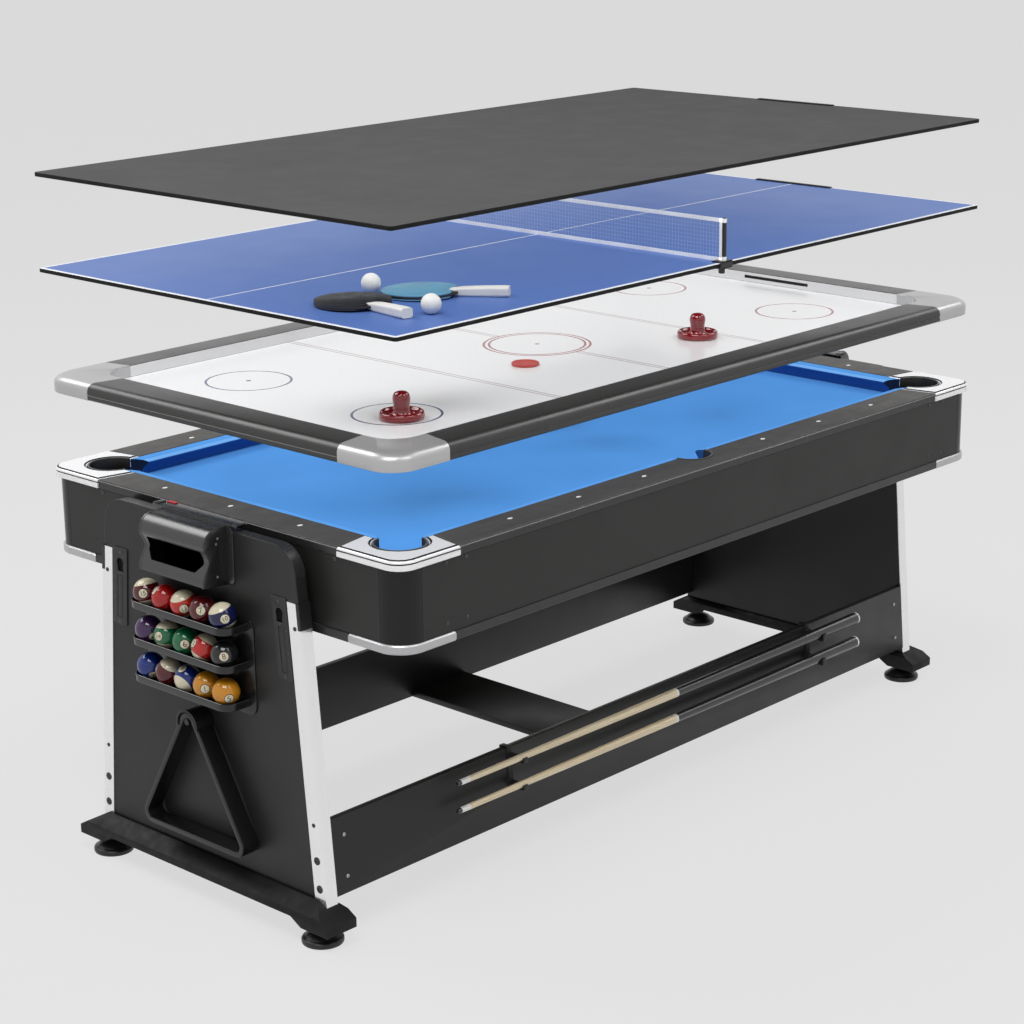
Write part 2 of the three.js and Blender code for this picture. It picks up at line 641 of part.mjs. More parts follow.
// Leaning side board at the back, between the end panels
function sideBoardGeometry() {
  const across = acrossLean(BOARD_THICKNESS);
  const shape = outline([
    [legEdge(BOARD_BOTTOM) - across, BOARD_BOTTOM],
    [legEdge(BOARD_BOTTOM), BOARD_BOTTOM],
    [legEdge(BOARD_TOP), BOARD_TOP],
    [legEdge(BOARD_TOP) - across, BOARD_TOP],
  ]);
  return alongX(shape, -PANEL_INNER_X + FIT_GAP, PANEL_INNER_X - FIT_GAP);
}

function cueRadius(x) {
  const share = (x - CUE_TIP_X) / (CUE_BUTT_X - CUE_TIP_X);
  return CUE_TIP_RADIUS + share * (CUE_BUTT_RADIUS - CUE_TIP_RADIUS);
}

// Clip at the back side for both cues: a spine hooked over the board and a cradle for each cue
function cueClipGeometry(x) {
  const x0 = x - CLIP_WIDTH / 2;
  const x1 = x + CLIP_WIDTH / 2;
  const hookInner = legEdge(BOARD_TOP) - acrossLean(BOARD_THICKNESS) - CLIP_THICKNESS;
  const spine = alongX(outline([
    [legEdge(CLIP_FOOT) - OVERRUN, CLIP_FOOT],
    [legEdge(CLIP_FOOT) + CLIP_THICKNESS, CLIP_FOOT],
    [legEdge(BOARD_TOP) + CLIP_THICKNESS, BOARD_TOP + CLIP_THICKNESS],
    [hookInner, BOARD_TOP + CLIP_THICKNESS],
    [hookInner, BOARD_TOP - CLIP_HOOK_DEPTH],
    [hookInner + CLIP_THICKNESS + OVERRUN, BOARD_TOP - CLIP_HOOK_DEPTH],
    [hookInner + CLIP_THICKNESS + OVERRUN, BOARD_TOP - OVERRUN],
    [legEdge(BOARD_TOP) - OVERRUN, BOARD_TOP - OVERRUN],
  ]), x0, x1);
  const cradles = [CUE_Z_UPPER, CUE_Z_LOWER].map((z) => {
    const seat = cueRadius(x1) + FIT_GAP;
    const shape = new THREE.Shape();
    shape.moveTo(legEdge(z), z - seat - CLIP_THICKNESS);
    shape.lineTo(CUE_Y + seat + CLIP_THICKNESS, z - seat - CLIP_THICKNESS);
    shape.lineTo(CUE_Y + seat + CLIP_THICKNESS, z);
    shape.absarc(CUE_Y, z, seat, 0, Math.PI, true);
    shape.lineTo(legEdge(z), z);
    shape.closePath();
    return alongX(shape, x0, x1);
  });
  return joined(spine, ...cradles);
}

function crossBraceGeometry() {
  const top = BOARD_BOTTOM + BRACE_THICKNESS;
  const reach = (z) => legEdge(z) - acrossLean(BOARD_THICKNESS) - FIT_GAP;
  const shape = outline([
    [-reach(BOARD_BOTTOM), BOARD_BOTTOM],
    [reach(BOARD_BOTTOM), BOARD_BOTTOM],
    [reach(top), top],
    [-reach(top), top],
  ]);
  return alongX(shape, -BRACE_HALF_WIDTH, BRACE_HALF_WIDTH);
}

// Rounded triangle with its point up, by its height and corner radius
function triangleOutline(bottom, top, centreRound, radius) {
  const apexZ = top - centreRound;
  const baseZ = bottom + centreRound;
  const half = (apexZ - baseZ) / Math.sqrt(3);
  const sixth = Math.PI / 6;
  const shape = new THREE.Shape();
  shape.absarc(half, baseZ, radius, -3 * sixth, sixth, false);
  shape.absarc(0, apexZ, radius, sixth, 5 * sixth, false);
  shape.absarc(-half, baseZ, radius, 5 * sixth, 9 * sixth, false);
  shape.closePath();
  return shape;
}

// Triangle hanging at the far end
function triangleGeometry() {
  const shape = triangleOutline(TRIANGLE_BOTTOM, TRIANGLE_TOP, TRIANGLE_ROUND, TRIANGLE_ROUND);
  shape.holes.push(triangleOutline(
    TRIANGLE_BOTTOM, TRIANGLE_TOP, TRIANGLE_ROUND, TRIANGLE_INNER_ROUND,
  ));
  const back = FACE_X + RACK_BACK_THICKNESS + FIT_GAP;
  return alongX(shape, back, back + TRIANGLE_DEPTH);
}

// Heights of the balls' centres, from the top row down
function ballRowHeights() {
  return Array.from({ length: BALL_ROWS }, (_, row) => BALL_TOP_ROW_Z - row * BALL_ROW_PITCH);
}

// Ball rack at the far end: back plate, a tray for each row and the triangle's hook
function ballRackGeometry() {
  const back = FACE_X + RACK_BACK_THICKNESS;
  const middle = (RACK_BACK_TOP + RACK_BACK_BOTTOM) / 2;
  const rise = (RACK_BACK_TOP - RACK_BACK_BOTTOM) / 2;
  const plate = alongX(roundedRect(RACK_BACK_HALF, rise, RACK_BACK_RADIUS, 0, middle), FACE_X, back);
  const trayOutline = (inset) => {
    const front = FACE_X + TRAY_DEPTH - inset;
    const half = TRAY_HALF - inset;
    const radius = TRAY_CORNER_RADIUS - inset;
    const shape = new THREE.Shape();
    shape.moveTo(back - OVERRUN, -half);
    shape.lineTo(front - radius, -half);
    shape.absarc(front - radius, -half + radius, radius, -Math.PI / 2, 0, false);
    shape.absarc(front - radius, half - radius, radius, 0, Math.PI / 2, false);
    shape.lineTo(back - OVERRUN, half);
    shape.closePath();
    return shape;
  };
  const trays = ballRowHeights().map((height) => {
    const floor = height - POOL_BALL_RADIUS - FIT_GAP;
    const whole = alongZ(trayOutline(0), floor - TRAY_THICKNESS, floor - TRAY_THICKNESS + TRAY_LIP_HEIGHT);
    const hollow = alongZ(trayOutline(TRAY_THICKNESS), floor, floor + TRAY_LIP_HEIGHT);
    return cut(whole, hollow);
  });
  const hookZ = TRIANGLE_TOP - TRIANGLE_BAR - FIT_GAP - HOOK_RADIUS;
  const neck = box(FACE_X, back, -HOOK_NECK_HALF, HOOK_NECK_HALF, hookZ, RACK_BACK_BOTTOM + OVERRUN);
  const hook = pin(HOOK_RADIUS, FACE_X, FACE_X + HOOK_LENGTH, 0, hookZ, COARSE_SIDES);
  return joined(plate, ...trays, neck, hook);
}

// A row of balls on the far end's rack
function ballRowGeometry(height) {
  const x = FACE_X + BALL_STANDOFF;
  const balls = Array.from({ length: BALLS_PER_ROW }, (_, i) => {
    const y = (i - (BALLS_PER_ROW - 1) / 2) * POOL_BALL_PITCH;
    const ball = new THREE.SphereGeometry(POOL_BALL_RADIUS, COARSE_SIDES, BALL_RINGS);
    return ball.rotateX(Math.PI / 2).translate(x, y, height);
  });
  const bridges = balls.slice(1).map((_, i) => {
    const y = (i + 1 - BALLS_PER_ROW / 2) * POOL_BALL_PITCH;
    const radius = BALL_PIN_RADIUS;
    const bridge = new THREE.CylinderGeometry(radius, radius, POOL_BALL_RADIUS, COARSE_SIDES);
    return bridge.translate(x, y, height);
  });
  return joined(...balls, ...bridges);
}

// Outline (x, z) of the far puck box's curved cover, drawn in by a wall
function boxOutline(wall) {
  const at = (depth) => FACE_X + depth - wall;
  const back = FACE_X - (wall > 0 ? OVERRUN : 0);
  const shape = new THREE.Shape();
  shape.moveTo(back, BOX_BOTTOM + wall);
  shape.lineTo(at(BOX_DEPTH), BOX_BOTTOM + BOX_LIP_FOOT_HEIGHT + wall);
  shape.splineThru([
    [at(BOX_DEPTH), BOX_LIP_HEIGHT],
    [at(BOX_WAIST_DEPTH), BOX_WAIST_HEIGHT],
    [at(BOX_HOOD_DEPTH), BOX_HOOD_HEIGHT],
    [at(BOX_CREST_DEPTH), BOX_CREST_HEIGHT - wall],
    [back, BOX_HEIGHT - wall],
  ].map(([x, height]) => new THREE.Vector2(x, BOX_BOTTOM + height)));
  shape.closePath();
  return shape;
}

// Puck box at the far end: hollow cover with its window, flange and grip bar
function puckBoxGeometry() {
  const cover = alongY(boxOutline(0), -BOX_HALF, BOX_HALF);
  const hollow = alongY(boxOutline(BOX_WALL), -BOX_HALF + BOX_WALL, BOX_HALF - BOX_WALL);
  const sill = BOX_BOTTOM + BOX_WINDOW_FOOT_HEIGHT;
  const head = BOX_BOTTOM + BOX_WINDOW_HEAD_HEIGHT;
  const window = alongX(outline([
    [-BOX_WINDOW_HALF + BOX_WINDOW_CHAMFER, sill],
    [BOX_WINDOW_HALF - BOX_WINDOW_CHAMFER, sill],
    [BOX_WINDOW_HALF, sill + BOX_WINDOW_CHAMFER],
    [BOX_WINDOW_HALF, head],
    [-BOX_WINDOW_HALF, head],
    [-BOX_WINDOW_HALF, sill + BOX_WINDOW_CHAMFER],
  ]), FACE_X + BOX_DEPTH - BOX_WINDOW_CUT_DEPTH, FACE_X + BOX_DEPTH + OVERRUN);
  const middle = BOX_BOTTOM + BOX_HEIGHT / 2;
  const flange = alongX(
    roundedRect(BOX_FLANGE_HALF, BOX_HEIGHT / 2, BOX_FLANGE_RADIUS, 0, middle), FACE_X, FACE_X + BOX_WALL,
  );
  const barFoot = PANEL_TOP + FIT_GAP;
  const bar = box(
    FACE_X + BOX_WALL - BOX_BAR_REACH, FACE_X + BOX_WALL, -BOX_BAR_HALF, BOX_BAR_HALF, barFoot,
    barFoot + BOX_BAR_THICKNESS,
  );
  return joined(cut(cover, hollow, window), flange, bar);
}

// Ring of the apron boards between two heights
function apronRing(z0, z1) {
  return ring(
    CABINET_HALF_LENGTH, CABINET_HALF_WIDTH, CABINET_CORNER_RADIUS,
    APRON_INNER_X, APRON_INNER_Y, CABINET_CORNER_RADIUS - APRON_THICKNESS, z0, z1,
  );
}

// Ring of the lower trim, this far proud of the aprons
function lowerTrimRing(proud) {
  const innerX = CABINET_HALF_LENGTH + LOWER_TRIM_PROUD - LOWER_TRIM_THICKNESS;
  const innerY = CABINET_HALF_WIDTH + LOWER_TRIM_PROUD - LOWER_TRIM_THICKNESS;
  const innerRadius = CABINET_CORNER_RADIUS + LOWER_TRIM_PROUD - LOWER_TRIM_THICKNESS;
  return ring(
    CABINET_HALF_LENGTH + proud, CABINET_HALF_WIDTH + proud, CABINET_CORNER_RADIUS + proud,
    innerX, innerY, innerRadius, APRON_BOTTOM - LOWER_TRIM_HEIGHT, APRON_BOTTOM,
  );
}

const LOWER_ARM_X = CABINET_HALF_LENGTH + LOWER_CORNER_PROUD - LOWER_CORNER_ARM;
const LOWER_ARM_Y = CABINET_HALF_WIDTH + LOWER_CORNER_PROUD - LOWER_CORNER_ARM;
const ALL_X = CABINET_HALF_LENGTH + LOWER_CORNER_PROUD + OVERRUN;
const ALL_Y = CABINET_HALF_WIDTH + LOWER_CORNER_PROUD + OVERRUN;
const TRIM_BOTTOM = APRON_BOTTOM - LOWER_TRIM_HEIGHT;

// Back apron with both rounded corner posts, its lower trim and its lower corner castings
function sideApronGeometry() {
  const foot = APRON_BOTTOM - OVERRUN;
  const board = common(
    apronRing(foot, APRON_TOP),
    box(-ALL_X, ALL_X, APRON_SEAM_Y, ALL_Y, foot - OVERRUN, APRON_TOP + OVERRUN),
  );
  const armZone = (x0, x1, y0) => box(x0, x1, y0, ALL_Y, TRIM_BOTTOM - OVERRUN, APRON_BOTTOM + OVERRUN);
  const trim = common(lowerTrimRing(LOWER_TRIM_PROUD), armZone(-ALL_X, ALL_X, LOWER_ARM_Y));
  const corners = [armZone(-ALL_X, -LOWER_ARM_X, LOWER_ARM_Y), armZone(LOWER_ARM_X, ALL_X, LOWER_ARM_Y)];
  const castings = corners.map((zone) => common(lowerTrimRing(LOWER_CORNER_PROUD), zone));
  return joined(board, trim, ...castings);
}

// Far apron with its lower trim, pivot boss and pivot pin
function endApronGeometry() {
  const seam = APRON_SEAM_Y - FIT_GAP;
  const arm = LOWER_ARM_Y - FIT_GAP;
  const upper = common(
    apronRing(APRON_BOTTOM + FIT_GAP, APRON_TOP),
    box(0, ALL_X, -seam, seam, APRON_BOTTOM, APRON_TOP + OVERRUN),
  );
  const lower = common(
    apronRing(APRON_BOTTOM - OVERRUN, APRON_TOP),
    box(0, ALL_X, -arm, arm, TRIM_BOTTOM, APRON_TOP + OVERRUN),
  );
  const trim = common(
    lowerTrimRing(LOWER_TRIM_PROUD),
    box(0, ALL_X, -arm, arm, TRIM_BOTTOM - OVERRUN, APRON_BOTTOM + OVERRUN),
  );
  const boss = pin(PIVOT_BOSS_RADIUS, APRON_INNER_X, PANEL_INNER_X - FIT_GAP, 0, PIVOT_HEIGHT);
  const pivot = pin(PIVOT_PIN_RADIUS, APRON_INNER_X, PANEL_OUTER_X, 0, PIVOT_HEIGHT);
  return joined(upper, lower, trim, boss, pivot);
}

// Cutters of the pockets, one for each corner and one for each side
function pocketCutters(gap, z0, z1) {
  const cutters = [];
  for (const signY of [-1, 1]) {
    cutters.push(post(SIDE_POCKET_RADIUS + gap, 0, signY * SIDE_POCKET_Y, z0, z1));
    for (const signX of [-1, 1]) {
      cutters.push(post(
        CORNER_POCKET_RADIUS + gap, signX * CORNER_POCKET_X, signY * CORNER_POCKET_Y, z0, z1,
      ));
    }
  }
  return cutters;
}

function poolBedGeometry() {
  const slab = alongZ(
    roundedRect(
      APRON_INNER_X - FIT_GAP, APRON_INNER_Y - FIT_GAP, CABINET_CORNER_RADIUS - APRON_THICKNESS,
    ),
    BED_BOTTOM, BED_TOP,
  );
  return cut(slab, ...pocketCutters(FIT_GAP, BED_BOTTOM - OVERRUN, BED_TOP + OVERRUN));
}

// Half width of the way from the bed into a corner pocket: the chord across the casting's horns
function throatHalf() {
  const along = RAIL_INNER_Y - CORNER_POCKET_Y;
  const horn = Math.sqrt(CORNER_POCKET_RADIUS ** 2 - along ** 2);
  return (horn + along) / Math.SQRT2;
}

// The way from the bed into the far back corner pocket, as a cutter
function throatCutter(gap) {
  const half = throatHalf() + gap;
  const way = box(-THROAT_REACH, 0, -half, half, BED_TOP, CASTING_TOP + OVERRUN);
  return way.rotateZ(Math.PI / 4).translate(CORNER_POCKET_X, CORNER_POCKET_Y, 0);
}

function cushionSection(outer, inner) {
  const nose = inner - CUSHION_WIDTH;
  return outline([
    [outer - FIT_GAP, BED_TOP + FIT_GAP],
    [outer - FIT_GAP, RAIL_BOTTOM - FIT_GAP],
    [inner - FIT_GAP, RAIL_BOTTOM - FIT_GAP],
    [inner - FIT_GAP, RAIL_TOP - CUSHION_ROOT_DROP],
    [nose, CUSHION_NOSE_TOP],
    [nose, CUSHION_NOSE_TOP - CUSHION_NOSE_HEIGHT],
    [nose + CUSHION_UNDERCUT, BED_TOP + FIT_GAP],
  ]);
}

// Back cushions, one nose each side of the side pocket, on one sub-rail
function sideCushionGeometry() {
  const half = CORNER_POCKET_X - CORNER_POCKET_RADIUS - FIT_GAP;
  const bar = alongX(cushionSection(APRON_INNER_Y, RAIL_INNER_Y), -half, half);
  const mouth = box(
    -SIDE_POCKET_RADIUS, SIDE_POCKET_RADIUS, 0, SIDE_POCKET_Y, BED_TOP, CASTING_TOP + OVERRUN,
  );
  const pocket = post(SIDE_POCKET_RADIUS + FIT_GAP, 0, SIDE_POCKET_Y, BED_TOP, CASTING_TOP);
  const throats = [-1, 1].map((sign) => mirrored(throatCutter(FIT_GAP), sign, 1));
  return cut(bar, mouth, pocket, ...throats);
}

// Far cushion on its sub-rail
function endCushionGeometry() {
  const half = CORNER_POCKET_Y - CORNER_POCKET_RADIUS - FIT_GAP;
  const bar = alongY(cushionSection(APRON_INNER_X, RAIL_INNER_X), -half, half);
  const throats = [-1, 1].map((sign) => mirrored(throatCutter(FIT_GAP), 1, sign));
  return cut(bar, ...throats);
}

function sideRailGeometry() {
  const inner = RAIL_INNER_Y;
  const plan = outline([
    [-SIDE_RAIL_INNER_END, inner],
    [SIDE_RAIL_INNER_END, inner],
    [SIDE_RAIL_OUTER_END, RAIL_OUTER_Y],
    [-SIDE_RAIL_OUTER_END, RAIL_OUTER_Y],
  ]);
  const pocket = post(
    SIDE_POCKET_RADIUS + FIT_GAP, 0, SIDE_POCKET_Y, RAIL_BOTTOM - OVERRUN, RAIL_TOP + OVERRUN,
  );
  return cut(alongZ(plan, RAIL_BOTTOM, RAIL_TOP), pocket);
}

function endRailGeometry() {
  const plan = outline([
    [RAIL_INNER_X, -END_RAIL_INNER_END],
    [RAIL_OUTER_X, -END_RAIL_OUTER_END],
    [RAIL_OUTER_X, END_RAIL_OUTER_END],
    [RAIL_INNER_X, END_RAIL_INNER_END],
  ]);
  return alongZ(plan, RAIL_BOTTOM, RAIL_TOP);
}

// An open ball cup about the origin, up to the casting's top
function cupGeometry(radius) {
  return turned([
    [0, POCKET_BOTTOM],
    [radius, POCKET_BOTTOM],
    [radius, CASTING_TOP],
    [radius - POCKET_WALL, CASTING_TOP],
    [radius - POCKET_WALL, POCKET_BOTTOM + POCKET_WALL],
    [0, POCKET_BOTTOM + POCKET_WALL],
  ], FINE_SIDES);
}

// Chromed casting over the far back corner, with its ball cup
function cornerPocketGeometry() {
  const outerX = CABINET_HALF_LENGTH + CASTING_PROUD;
  const outerY = CABINET_HALF_WIDTH + CASTING_PROUD;
  const radius = CASTING_CORNER_RADIUS;
  const plan = new THREE.Shape();
  plan.moveTo(SIDE_RAIL_INNER_END + FIT_GAP, RAIL_INNER_Y);
  plan.lineTo(RAIL_INNER_X, RAIL_INNER_Y);
  plan.lineTo(RAIL_INNER_X, END_RAIL_INNER_END + FIT_GAP);
  plan.lineTo(RAIL_OUTER_X, END_RAIL_OUTER_END + FIT_GAP);
  plan.lineTo(outerX, END_RAIL_OUTER_END + FIT_GAP);
  plan.absarc(outerX - radius, outerY - radius, radius, 0, Math.PI / 2, false);
  plan.lineTo(SIDE_RAIL_OUTER_END + FIT_GAP, outerY);
  plan.lineTo(SIDE_RAIL_OUTER_END + FIT_GAP, RAIL_OUTER_Y);
  plan.closePath();
  const plate = cut(
    alongZ(plan, RAIL_BOTTOM, CASTING_TOP),
    post(CORNER_POCKET_RADIUS - POCKET_WALL / 2, CORNER_POCKET_X, CORNER_POCKET_Y, RAIL_BOTTOM - OVERRUN,
      CASTING_TOP + OVERRUN),
  );
  const cup = cupGeometry(CORNER_POCKET_RADIUS).translate(CORNER_POCKET_X, CORNER_POCKET_Y, 0);
  return joined(plate, cut(cup, throatCutter(0)));
}

// Back side pocket's cup, open to the bed
function sideCupGeometry() {
  const reach = SIDE_POCKET_RADIUS + OVERRUN;
  const way = box(-reach, reach, -reach, 0, BED_TOP, CASTING_TOP + OVERRUN);
  return cut(cupGeometry(SIDE_POCKET_RADIUS), way).translate(0, SIDE_POCKET_Y, 0);
}

// Plan of the ring that the air hockey rails and corners share, grown or drawn in by a wall
function hockeyRing(wall, z0, z1) {
  return ring(
    HOCKEY_HALF_LENGTH - wall, HOCKEY_HALF_WIDTH - wall, HOCKEY_CORNER_RADIUS - wall,
    HOCKEY_INNER_X + wall, HOCKEY_INNER_Y + wall, HOCKEY_FILLET_RADIUS + wall, z0, z1,
  );
}

// Zone of the far back corner casting of the air hockey layer
function hockeyCornerZone(gap) {
  const farX = HOCKEY_HALF_LENGTH + OVERRUN;
  const farY = HOCKEY_HALF_WIDTH + OVERRUN;
  return alongZ(outline([
    [HOCKEY_SIDE_JOINT_INNER + gap, HOCKEY_INNER_Y],
    [HOCKEY_INNER_X, HOCKEY_END_JOINT_INNER + gap],
    [HOCKEY_HALF_LENGTH, HOCKEY_END_JOINT_OUTER + gap],
    [farX, HOCKEY_END_JOINT_OUTER + gap],
    [farX, farY],
    [HOCKEY_SIDE_JOINT_OUTER + gap, farY],
    [HOCKEY_SIDE_JOINT_OUTER + gap, HOCKEY_HALF_WIDTH],
  ]), -OVERRUN, HOCKEY_HEIGHT + OVERRUN);
}

function hockeyFrameGeometry() {
  const step = HOCKEY_HEIGHT - HOCKEY_SHOULDER;
  const lower = hockeyRing(0, 0, step);
  const upper = ring(
    HOCKEY_HALF_LENGTH - HOCKEY_SHOULDER, HOCKEY_HALF_WIDTH - HOCKEY_SHOULDER,
    HOCKEY_CORNER_RADIUS - HOCKEY_SHOULDER, HOCKEY_INNER_X, HOCKEY_INNER_Y, HOCKEY_FILLET_RADIUS,
    step - OVERRUN, HOCKEY_HEIGHT,
  );
  const zones = [];
  for (const signX of [-1, 1]) {
    for (const signY of [-1, 1]) zones.push(mirrored(hockeyCornerZone(0), signX, signY));
  }
  const rails = cut(joined(lower, upper), ...zones);
  const core = hockeyRing(HOCKEY_CORNER_WALL, 0, HOCKEY_HEIGHT - HOCKEY_CORNER_TOP - FIT_GAP);
  const slots = Object.values(ENDS).map((sign) => mirrored(box(
    HOCKEY_INNER_X - OVERRUN, HOCKEY_INNER_X + GOAL_SLOT_DEPTH, -GOAL_HALF, GOAL_HALF,
    GOAL_SLOT_BOTTOM, GOAL_SLOT_BOTTOM + GOAL_SLOT_HEIGHT,
  ), sign, 1));
  return cut(joined(rails, core), ...slots);
}

// Far back corner casting: a cap over the frame's inset corner
function hockeyCornerGeometry() {
  const cap = common(hockeyRing(0, 0, HOCKEY_HEIGHT), hockeyCornerZone(FIT_GAP));
  const core = hockeyRing(
    HOCKEY_CORNER_WALL - FIT_GAP, -OVERRUN, HOCKEY_HEIGHT - HOCKEY_CORNER_TOP,
  );
  return cut(cap, core);
}

// Playing field with the air plenum under it
function hockeyFieldGeometry() {
  const underside = HOCKEY_FIELD_TOP - HOCKEY_FIELD_THICKNESS;
  const sheet = alongZ(
    roundedRect(HOCKEY_INNER_X - FIT_GAP, HOCKEY_INNER_Y - FIT_GAP, HOCKEY_FILLET_RADIUS),
    underside, HOCKEY_FIELD_TOP,
  );
  const tray = cut(
    box(
      -PLENUM_HALF_LENGTH, PLENUM_HALF_LENGTH, -PLENUM_HALF_WIDTH, PLENUM_HALF_WIDTH,
      -PLENUM_DEPTH, underside + PLENUM_WALL / 2,
    ),
    box(
      -PLENUM_HALF_LENGTH + PLENUM_WALL, PLENUM_HALF_LENGTH - PLENUM_WALL,
      -PLENUM_HALF_WIDTH + PLENUM_WALL, PLENUM_HALF_WIDTH - PLENUM_WALL,
      -PLENUM_DEPTH + PLENUM_WALL, underside + PLENUM_WALL,
    ),
    post(BLOWER_RADIUS + FIT_GAP, 0, 0, -PLENUM_DEPTH - OVERRUN, 0),
  );
  return joined(sheet, tray);
}

// Blower can hanging by its flange under the plenum, with its inlet hole
function blowerGeometry() {
  const seat = -PLENUM_DEPTH - FIT_GAP;
  const foot = seat - BLOWER_FLANGE_THICKNESS;
  return turned([
    [BLOWER_INLET_RADIUS, foot],
    [BLOWER_FLANGE_RADIUS, foot],
    [BLOWER_FLANGE_RADIUS, seat],
    [BLOWER_RADIUS, seat],
    [BLOWER_RADIUS, seat + BLOWER_HEIGHT],
    [0, seat + BLOWER_HEIGHT],
    [0, seat + BLOWER_HEIGHT - BLOWER_FLANGE_THICKNESS],
    [BLOWER_INLET_RADIUS, seat + BLOWER_HEIGHT - BLOWER_FLANGE_THICKNESS],
    [BLOWER_INLET_RADIUS, foot],
  ], FINE_SIDES);
}

function pusherGeometry() {
  return turned([
    [0, 0],
    [PUSHER_RADIUS, 0],
    [PUSHER_RADIUS, PUSHER_RIM_HEIGHT],
    [PUSHER_RADIUS - PUSHER_RIM_WIDTH, PUSHER_RIM_HEIGHT],
    [PUSHER_VALLEY_RADIUS, PUSHER_VALLEY_HEIGHT],
    [PUSHER_NECK_RADIUS, PUSHER_NECK_HEIGHT],
    [PUSHER_KNOB_RADIUS, PUSHER_KNOB_FOOT],
    [PUSHER_KNOB_RADIUS, PUSHER_HEIGHT - PUSHER_RIM_WIDTH],
    [PUSHER_NECK_RADIUS, PUSHER_HEIGHT],
    [0, PUSHER_HEIGHT],
  ], ROUND_SIDES);
}

// A board top with the grip strip along the middle of its far edge
function boardTopGeometry(halfLength, halfWidth) {
  const board = alongZ(roundedRect(halfLength, halfWidth, TOP_CORNER_RADIUS), 0, TOP_THICKNESS);
  const strip = box(
    halfLength - GRIP_STRIP_WIDTH, halfLength, -GRIP_STRIP_HALF, GRIP_STRIP_HALF,
    0, TOP_THICKNESS + GRIP_STRIP_RISE,
  );
  return joined(board, strip);
}

// Net across the tennis top, with its posts and edge clamps
function netGeometry() {
  const foot = TOP_THICKNESS + FIT_GAP;
  const top = TOP_THICKNESS + NET_HEIGHT;
  const half = TENNIS_HALF_WIDTH - NET_POST_WIDTH / 2;
  const strandHalf = NET_STRAND / 2;
  const strip = (y0, y1, z0, z1) => box(-NET_THICKNESS / 2, NET_THICKNESS / 2, y0, y1, z0, z1);
  const net = [strip(-half, half, foot, foot + NET_TAPE), strip(-half, half, top - NET_TAPE, top)];
  for (let column = 1; column < NET_COLUMNS; column += 1) {
    const y = -half + 2 * half * column / NET_COLUMNS;
    net.push(strip(y - strandHalf, y + strandHalf, foot, top));
  }
  for (let row = 1; row < NET_ROWS; row += 1) {
    const z = foot + NET_TAPE + (top - foot - 2 * NET_TAPE) * row / NET_ROWS;
    net.push(strip(-half, half, z - strandHalf, z + strandHalf));
  }
  const edge = TENNIS_HALF_WIDTH + FIT_GAP;
  const outer = edge + NET_CLAMP_THICKNESS;
  const inner = outer - NET_CLAMP_REACH;
  const jawFoot = -FIT_GAP - NET_JAW_THICKNESS;
  const clampHalf = NET_CLAMP_WIDTH / 2;
  const postHalf = NET_POST_WIDTH / 2;
  const holders = [-1, 1].map((sign) => mirrored(joined(
    box(-postHalf, postHalf, TENNIS_HALF_WIDTH - NET_POST_WIDTH, TENNIS_HALF_WIDTH, foot, top + OVERRUN),
    box(-clampHalf, clampHalf, inner, outer, foot, foot + NET_JAW_THICKNESS),
    box(-clampHalf, clampHalf, edge, outer, jawFoot, foot + NET_JAW_THICKNESS),
    box(-clampHalf, clampHalf, inner, outer, jawFoot, -FIT_GAP),
    post(NET_SCREW_RADIUS, 0, (inner + outer) / 2, jawFoot - NET_SCREW_LENGTH, -FIT_GAP, COARSE_SIDES),
  ), 1, sign));
  return joined(...net, ...holders);
}

// Bat about its blade's middle, lying on a board: handle end and blade tip both touch it
function batGeometry(headingShare) {
  const bladeShape = new THREE.Shape();
  bladeShape.absellipse(0, 0, BAT_BLADE_LENGTH / 2, BAT_BLADE_WIDTH / 2, 0, 2 * Math.PI, false);
  const bladePlate = alongZ(bladeShape, -BAT_BLADE_THICKNESS / 2, BAT_BLADE_THICKNESS / 2);
  const handleStart = BAT_BLADE_LENGTH / 2 - BAT_HANDLE_WIDTH / 2;
  const handleEnd = BAT_BLADE_LENGTH / 2 + BAT_HANDLE_LENGTH;
  const handleSection = roundedRect(
    BAT_HANDLE_WIDTH / 2, BAT_HANDLE_THICKNESS / 2, BAT_HANDLE_ROUND,
  );
  const grip = joined(bladePlate, alongX(handleSection, handleStart, handleEnd));
  const drop = (BAT_HANDLE_THICKNESS - BAT_BLADE_THICKNESS) / 2;
  const lean = Math.atan(drop / (handleEnd + BAT_BLADE_LENGTH / 2));
  const laid = grip.rotateY(-lean).rotateZ(2 * Math.PI * headingShare);
  laid.computeBoundingBox();
  return laid.translate(0, 0, -laid.boundingBox.min.z);
}

function cueGeometry() {
  const length = CUE_BUTT_X - CUE_TIP_X;
  const ferruleEnd = CUE_TIP_LENGTH + CUE_FERRULE_LENGTH;
  const bumperStart = length - CUE_BUMPER_LENGTH;
  const shape = turned([
    [0, 0],
    [CUE_TIP_ROUND, 0],
    [CUE_TIP_RADIUS, CUE_TIP_LENGTH],
    [cueRadius(CUE_TIP_X + ferruleEnd), ferruleEnd],
    [cueRadius(CUE_JOINT_X), CUE_JOINT_X - CUE_TIP_X],
    [cueRadius(CUE_BUTT_X - CUE_BUMPER_LENGTH), bumperStart],
    [CUE_BUMPER_RADIUS, bumperStart],
    [CUE_BUMPER_RADIUS, length],
    [0, length],
  ], COARSE_SIDES);
  return shape.rotateY(Math.PI / 2).translate(CUE_TIP_X, 0, 0);
}

function addPiece(group, name, finish, geometry, x = 0, y = 0, z = 0) {
  const mesh = new THREE.Mesh(closed(geometry), new THREE.MeshStandardMaterial(FINISHES[finish]));
  mesh.name = name;
  mesh.position.set(x, y, z);
  group.add(mesh);
  return mesh;
}

